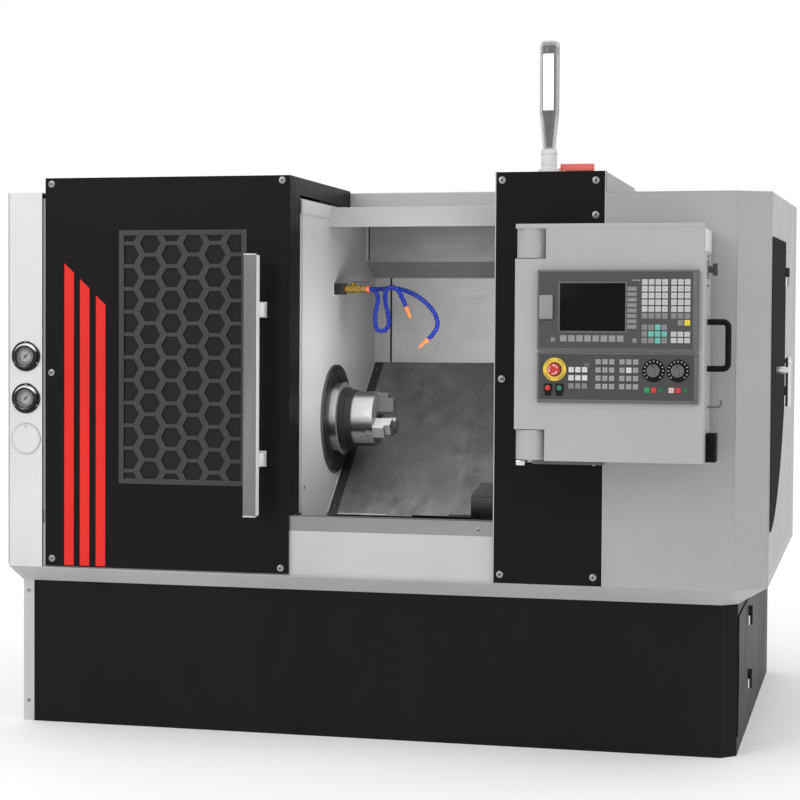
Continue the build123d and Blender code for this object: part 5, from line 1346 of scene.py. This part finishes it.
class LATHE_OT_pendant(bpy.types.Operator):
    """Screen, keys, dials, buttons and trim of the control pendant"""

    bl_idname = "lathe.pendant"
    bl_label = "Pendant"

    def execute(self, context):
        self.panels()
        self.keys()
        self.stop_collar()
        self.dials()
        self.box_trim()
        return {"FINISHED"}

    def panels(self):
        """Screen, rims, borders, flap, marks and plates of the display unit and the switch panel."""
        unit, switch = UNIT_FACE, SWITCH_FACE
        plates = []
        for x in (533.1, 563.7):
            plates.append((x - 10.4, x + 10.4, -220.4, -215.2, 995.9, 1016.7))
            plates.append((x - 8.5, x + 8.5, -219, -215.2, 986, 994.5, 2.0))
        for name, finish, round_off, rows in (
            ("screen", "screen", 0.3, [(563.5, 734, unit + 0.2, unit + 1.2, 1154.5, 1278.7)]),
            ("screen_rim", "frame", 0.4, border(
                (559.5, 738), (1150.8, 1282.4), (4, 4, 3.8, 3.8), (unit - 0.8, unit + 1.0)
            )),
            ("unit_borders", "frame", 0.7, border(
                (504.2, 921.8), (1106, 1312), (5.3, 13.8, 4.5, 3.5), (unit - 0.9, unit + 0.5)
            )),
            ("port_flap", "flap", 2.4, [
                (510, 546, unit - 9.0, unit + 0.2, 1185, 1248, 2.4, 3),
                (516, 540, unit - 9.8, unit - 8.6, 1189, 1192, 0.6),
            ]),
            ("status_marks", "white", 0.0, [
                (x - 1.3, x + 1.3, unit - 0.25, unit + 0.1, 1284.5, 1287.5) for x in (754.5, 762, 769.5)
            ]),
            ("tool_window", "frame", 0.3, [(628, 642, switch - 0.9, switch + 0.2, 1062, 1072)]),
            ("switch_edges", "frame", 0.6, [
                (504.2, 921.8, switch - 0.5, switch + 0.2, 1094.5, 1098.6, 0.3),
                (504.2, 921.8, switch - 0.9, switch + 0.2, 968.4, 976.5),
                (504.2, 509.5, switch - 0.9, switch + 0.2, 976.5, 1094.5),
                (912.0, 921.8, switch - 0.9, switch + 0.2, 976.5, 1094.5),
            ]),
            ("button_plates", "dial_black", 1.2, plates),
        ):
            boxes(name, finish, "panel_grey", rows, round_off, "pendant")

    def keys(self):
        """Every key, with a bar on it where keys are marked."""
        for depth, pitch, (wide, tall), thick, marked, blocks in KEYS:
            bar = ("_marks", "key_mark", wide * 0.42, tall * 0.16, thick + 0.15)
            for name, finish, x, z, columns, rows in blocks:
                cap = ("", finish, wide, tall, thick)
                for suffix, dress, *size in (bar, cap) if marked else (cap,):
                    repeat(
                        "grid", bpy.data.meshes.new("key_base"), key_cap(*size), name + suffix,
                        dress, "panel_grey", "pendant",
                        Columns=columns, Rows=rows, Across=pitch[0] * MM, Down=pitch[1] * MM,
                        Corner=tuple(place(x, depth, z)),
                    )

    def stop_collar(self):
        """Collar of the emergency stop with its marks, and the arrows on the mushroom."""
        centre = place(550.7, 0, 1054.4)
        collar, marks, arrows = Shape(), Shape(), Shape()
        collar.turned([(31, 215), (31, 217.4), (30.2, 218.2), (19, 218.2), (19, 215)], centre, FRONT, 64)
        collar.piece("stop_collar", "yellow", "panel_grey", "pendant")
        for start in (20, 110, 200, 290):
            marks.prism(arc_band(start, 50, 27.6, 26), centre + TO_FRONT * 218.1 * MM, FRONT, 0.3)
        marks.piece("stop_collar_marks", "ink", "panel_grey", "pendant")
        for start in (15, 135, 255):
            foot, tip = radians(start + 62), radians(start + 84)
            head = [(r * cos(a), r * sin(a)) for r, a in ((14.2, foot), (11.2, tip), (8.2, foot))]
            for outline in (arc_band(start, 62, 12.2, 10.2), head):
                arrows.prism(outline, centre + TO_FRONT * 241.6 * MM, FRONT, 0.9)
        arrows.piece("stop_arrows", "white", "estop_red", "estop_button")

    def dials(self):
        """Plates, ticks and pointers of the two override knobs."""
        faces, ticks = Shape(), []
        plate = [(29.6, 215.0), (29.6, 215.9), (28.6, 216.1), (0, 216.1), (0, 215.0)]
        for x, kind in ((808.2, "feed"), (870.7, "speed")):
            centre = place(x, 0, 1053)
            faces.turned(plate, centre, FRONT, 64)
            ticks += dial_places(centre, 24.4, 216.0, 13)
            line = Shape().prism(rectangle(-0.9, 0.9, 6, 15.5), centre + TO_FRONT * 235.4 * MM, FRONT, 0.5)
            line.piece(kind + "_pointer", "dial_black", "knob_black", kind + "_knob")
        faces.piece("dial_plates", "dial_black", "panel_grey", "pendant")
        tick = flat_part(rectangle(-1.0, 1.0, -1.8, 1.8), 0.3)
        set_at_points("dial_ticks", tick, ticks, "white", "panel_grey", "pendant")

    def box_trim(self):
        """Lip, side strip, latch, grip screws, hook, holder, stay and foot of the pendant's box."""
        for name, finish, body, round_off, row in (
            ("pendant_lip", "pendant", "pendant", 1.6, (443, 935, -206.2, -196, 1421.4, 1434)),
            ("pendant_side_strip", "column", "pendant", 0.3, (935.8, 936.7, -203, -18, 1364, 1420)),
            ("handwheel_holder", "handle_black", "pendant", 2.0, (935.6, 962.6, -141, -79, 814.6, 889.6)),
            ("latch_seat", "lamp_core", "pendant", 0.8, (935.6, 937.6, -136, -84, 1292, 1342)),
            ("mount_stay", "frame", "machine", 1.0, (458, 652, -13.5, -0.5, 793, 812)),
            ("pendant_foot", "chrome", "pendant", 2.0, (446, 470, -196, -150, 800, 813.6)),
        ):
            boxes(name, finish, "pendant_paint", [row], round_off, body)
        dots = looking(TO_RIGHT, [(936, depth, z) for z in (1275, 1351) for depth in (-126, -98)])
        set_at_points("latch_screws", socket_plug(7.5, 1.2), dots, "socket", "pendant_paint", "pendant")
        feet = looking(TO_RIGHT, [(936, -110, z) for z in (1040, 1196)])
        screws("grip_screws", feet, 3.4, 2.4, "pendant_paint", "pendant")
        route = [(934, 958), (962, 958), (970, 960), (973, 966), (973, 976)]
        hook = Shape().sweep([place(x, -110, z) for x, z in route], 3.0, 12)
        hook.piece("handwheel_hook", "lamp_core", "pendant_paint", "pendant")


def pin(shape, x, depth, z, radius, half):
    """Adds an upright pin about a point."""
    shape.turned([(radius, z - half), (radius, z + half)], place(x, depth, 0), UPRIGHT, 20)


class LATHE_OT_side(bpy.types.Operator):
    """Hinges and screws of the side door, hinges of the base door and screws of the light strip"""

    bl_idname = "lathe.side"
    bl_label = "Side and base trim"

    def execute(self, context):
        levels = (965, 1325)
        leaves = [(1087.2, 1089.6, 815, 850, z - 28, z + 28) for z in levels]
        boxes("side_hinge_leaves", "handle", "handle_metal", leaves, 0.6)
        pins, hinges = Shape(), Shape()
        for z in levels:
            pin(pins, 1091.0, 812, z, 4.2, 28)
        pins.piece("side_hinge_pins", "chrome", "handle_metal")
        spots = [(1089.6, 838, z + dz) for z in levels for dz in (-17, 17)]
        screws("side_hinge_screws", looking(TO_RIGHT, spots), 3.4, 2.4)
        for z in (147.5, 332.5):
            pin(hinges, 1012.2, 496, z, 4.0, 27.5)
        hinges.piece("base_hinges", "chrome", "handle_metal")
        screws("strip_screws", looking(TO_FRONT, [(-1051.5, 64, 60), (-1051.5, 64, 385)]), 4.4, 3.0)
        return {"FINISHED"}


class LATHE_OT_rear(bpy.types.Operator):
    """Doors of the rear cabinet, and what is on the left end"""

    bl_idname = "lathe.rear"
    bl_label = "Rear trim"

    def execute(self, context):
        seams, slots, hinges, latches = [], [], Shape(), Shape()
        backward, leftward = facing(-TO_FRONT), facing(-TO_RIGHT)
        lock = [(17, -0.2), (17, 0.5), (16.5, 0.8), (0, 0.8)]
        for low, high, hinge, latch in ((-870, -370, -870, -402), (-50, 450, 450, -18)):
            seams += [(x - 1.5, x + 1.5, 1599.4, 1600.3, 520, 1530) for x in (low, high)]
            seams += [(low + 1.5, high - 1.5, 1599.4, 1600.3, z - 1.5, z + 1.5) for z in (520, 1530)]
            for z in (640, 1400):
                pin(hinges, hinge, 1597.3, z, 3.6, 32)
            for z in (780, 1240):
                latches.turned(lock, place(latch, 1600, z), backward, 32)
                slots.append((latch - 2, latch + 2, 1600.5, 1601.0, z - 11, z + 11))
        boxes("rear_seams", "socket", "light_paint", seams)
        hinges.piece("rear_hinges", "alloy", "handle_metal")
        latches.piece("rear_latches", "knob", "handle_black")
        boxes("rear_lock_slots", "alloy", "handle_metal", slots, 0.2)
        backs = [(x, 1599, z) for x in (-955, -340, -80, 1050) for z in (500, 1000, 1550)]
        screws("rear_screws", looking(-TO_FRONT, backs), 5.5, 0.9)
        rim = [(46, -0.3), (46, 0.5), (45.4, 0.9), (37, 0.9), (35.4, 0.5), (35.4, -0.3)]
        ring = Shape().turned(rim, on_axis(-1087), leftward, 64, True)
        ring.piece("bar_hole_ring", "knob", "handle_black")
        left = [(-1086, depth, z) for depth in (60, 800, 1540) for z in (500, 1510)]
        screws("left_end_screws", looking(-TO_RIGHT, left), 5.5, 0.9)
        return {"FINISHED"}


class LATHE_PT_panel(bpy.types.Panel):
    """Buttons that dress the lathe, in order"""

    bl_idname = "LATHE_PT_panel"
    bl_label = "Lathe"
    bl_space_type = "VIEW_3D"
    bl_region_type = "UI"
    bl_category = "Lathe"

    def draw(self, context):
        for group in (context.scene.lathe_paint, context.scene.lathe_stage, context.scene.lathe_trim):
            for label in group.bl_rna.properties.keys():
                if label not in ("rna_type", "name"):
                    self.layout.prop(group, label)
        for operator in OPERATORS:
            self.layout.operator(operator.bl_idname)


GROUPS = {"lathe_paint": LathePaint, "lathe_stage": LatheStage, "lathe_trim": LatheTrim}
OPERATORS = (
    LATHE_OT_stage,
    LATHE_OT_finishes,
    LATHE_OT_door,
    LATHE_OT_casing,
    LATHE_OT_gauges,
    LATHE_OT_work_area,
    LATHE_OT_coolant,
    LATHE_OT_roof,
    LATHE_OT_pendant,
    LATHE_OT_side,
    LATHE_OT_rear,
)
CLASSES = (*GROUPS.values(), *OPERATORS, LATHE_PT_panel)


def register():
    """Adds the settings, the operators and the panel."""
    for kind in CLASSES:
        bpy.utils.register_class(kind)
    for label, kind in GROUPS.items():
        setattr(bpy.types.Scene, label, PointerProperty(type=kind))


def unregister():
    """Removes what register added."""
    for label in GROUPS:
        delattr(bpy.types.Scene, label)
    for kind in reversed(CLASSES):
        bpy.utils.unregister_class(kind)


def main():
    """Dresses the whole lathe."""
    register()
    for operator in OPERATORS:
        group, name = operator.bl_idname.split(".")
        getattr(getattr(bpy.ops, group), name)()


if __name__ == "__main__":
    main()
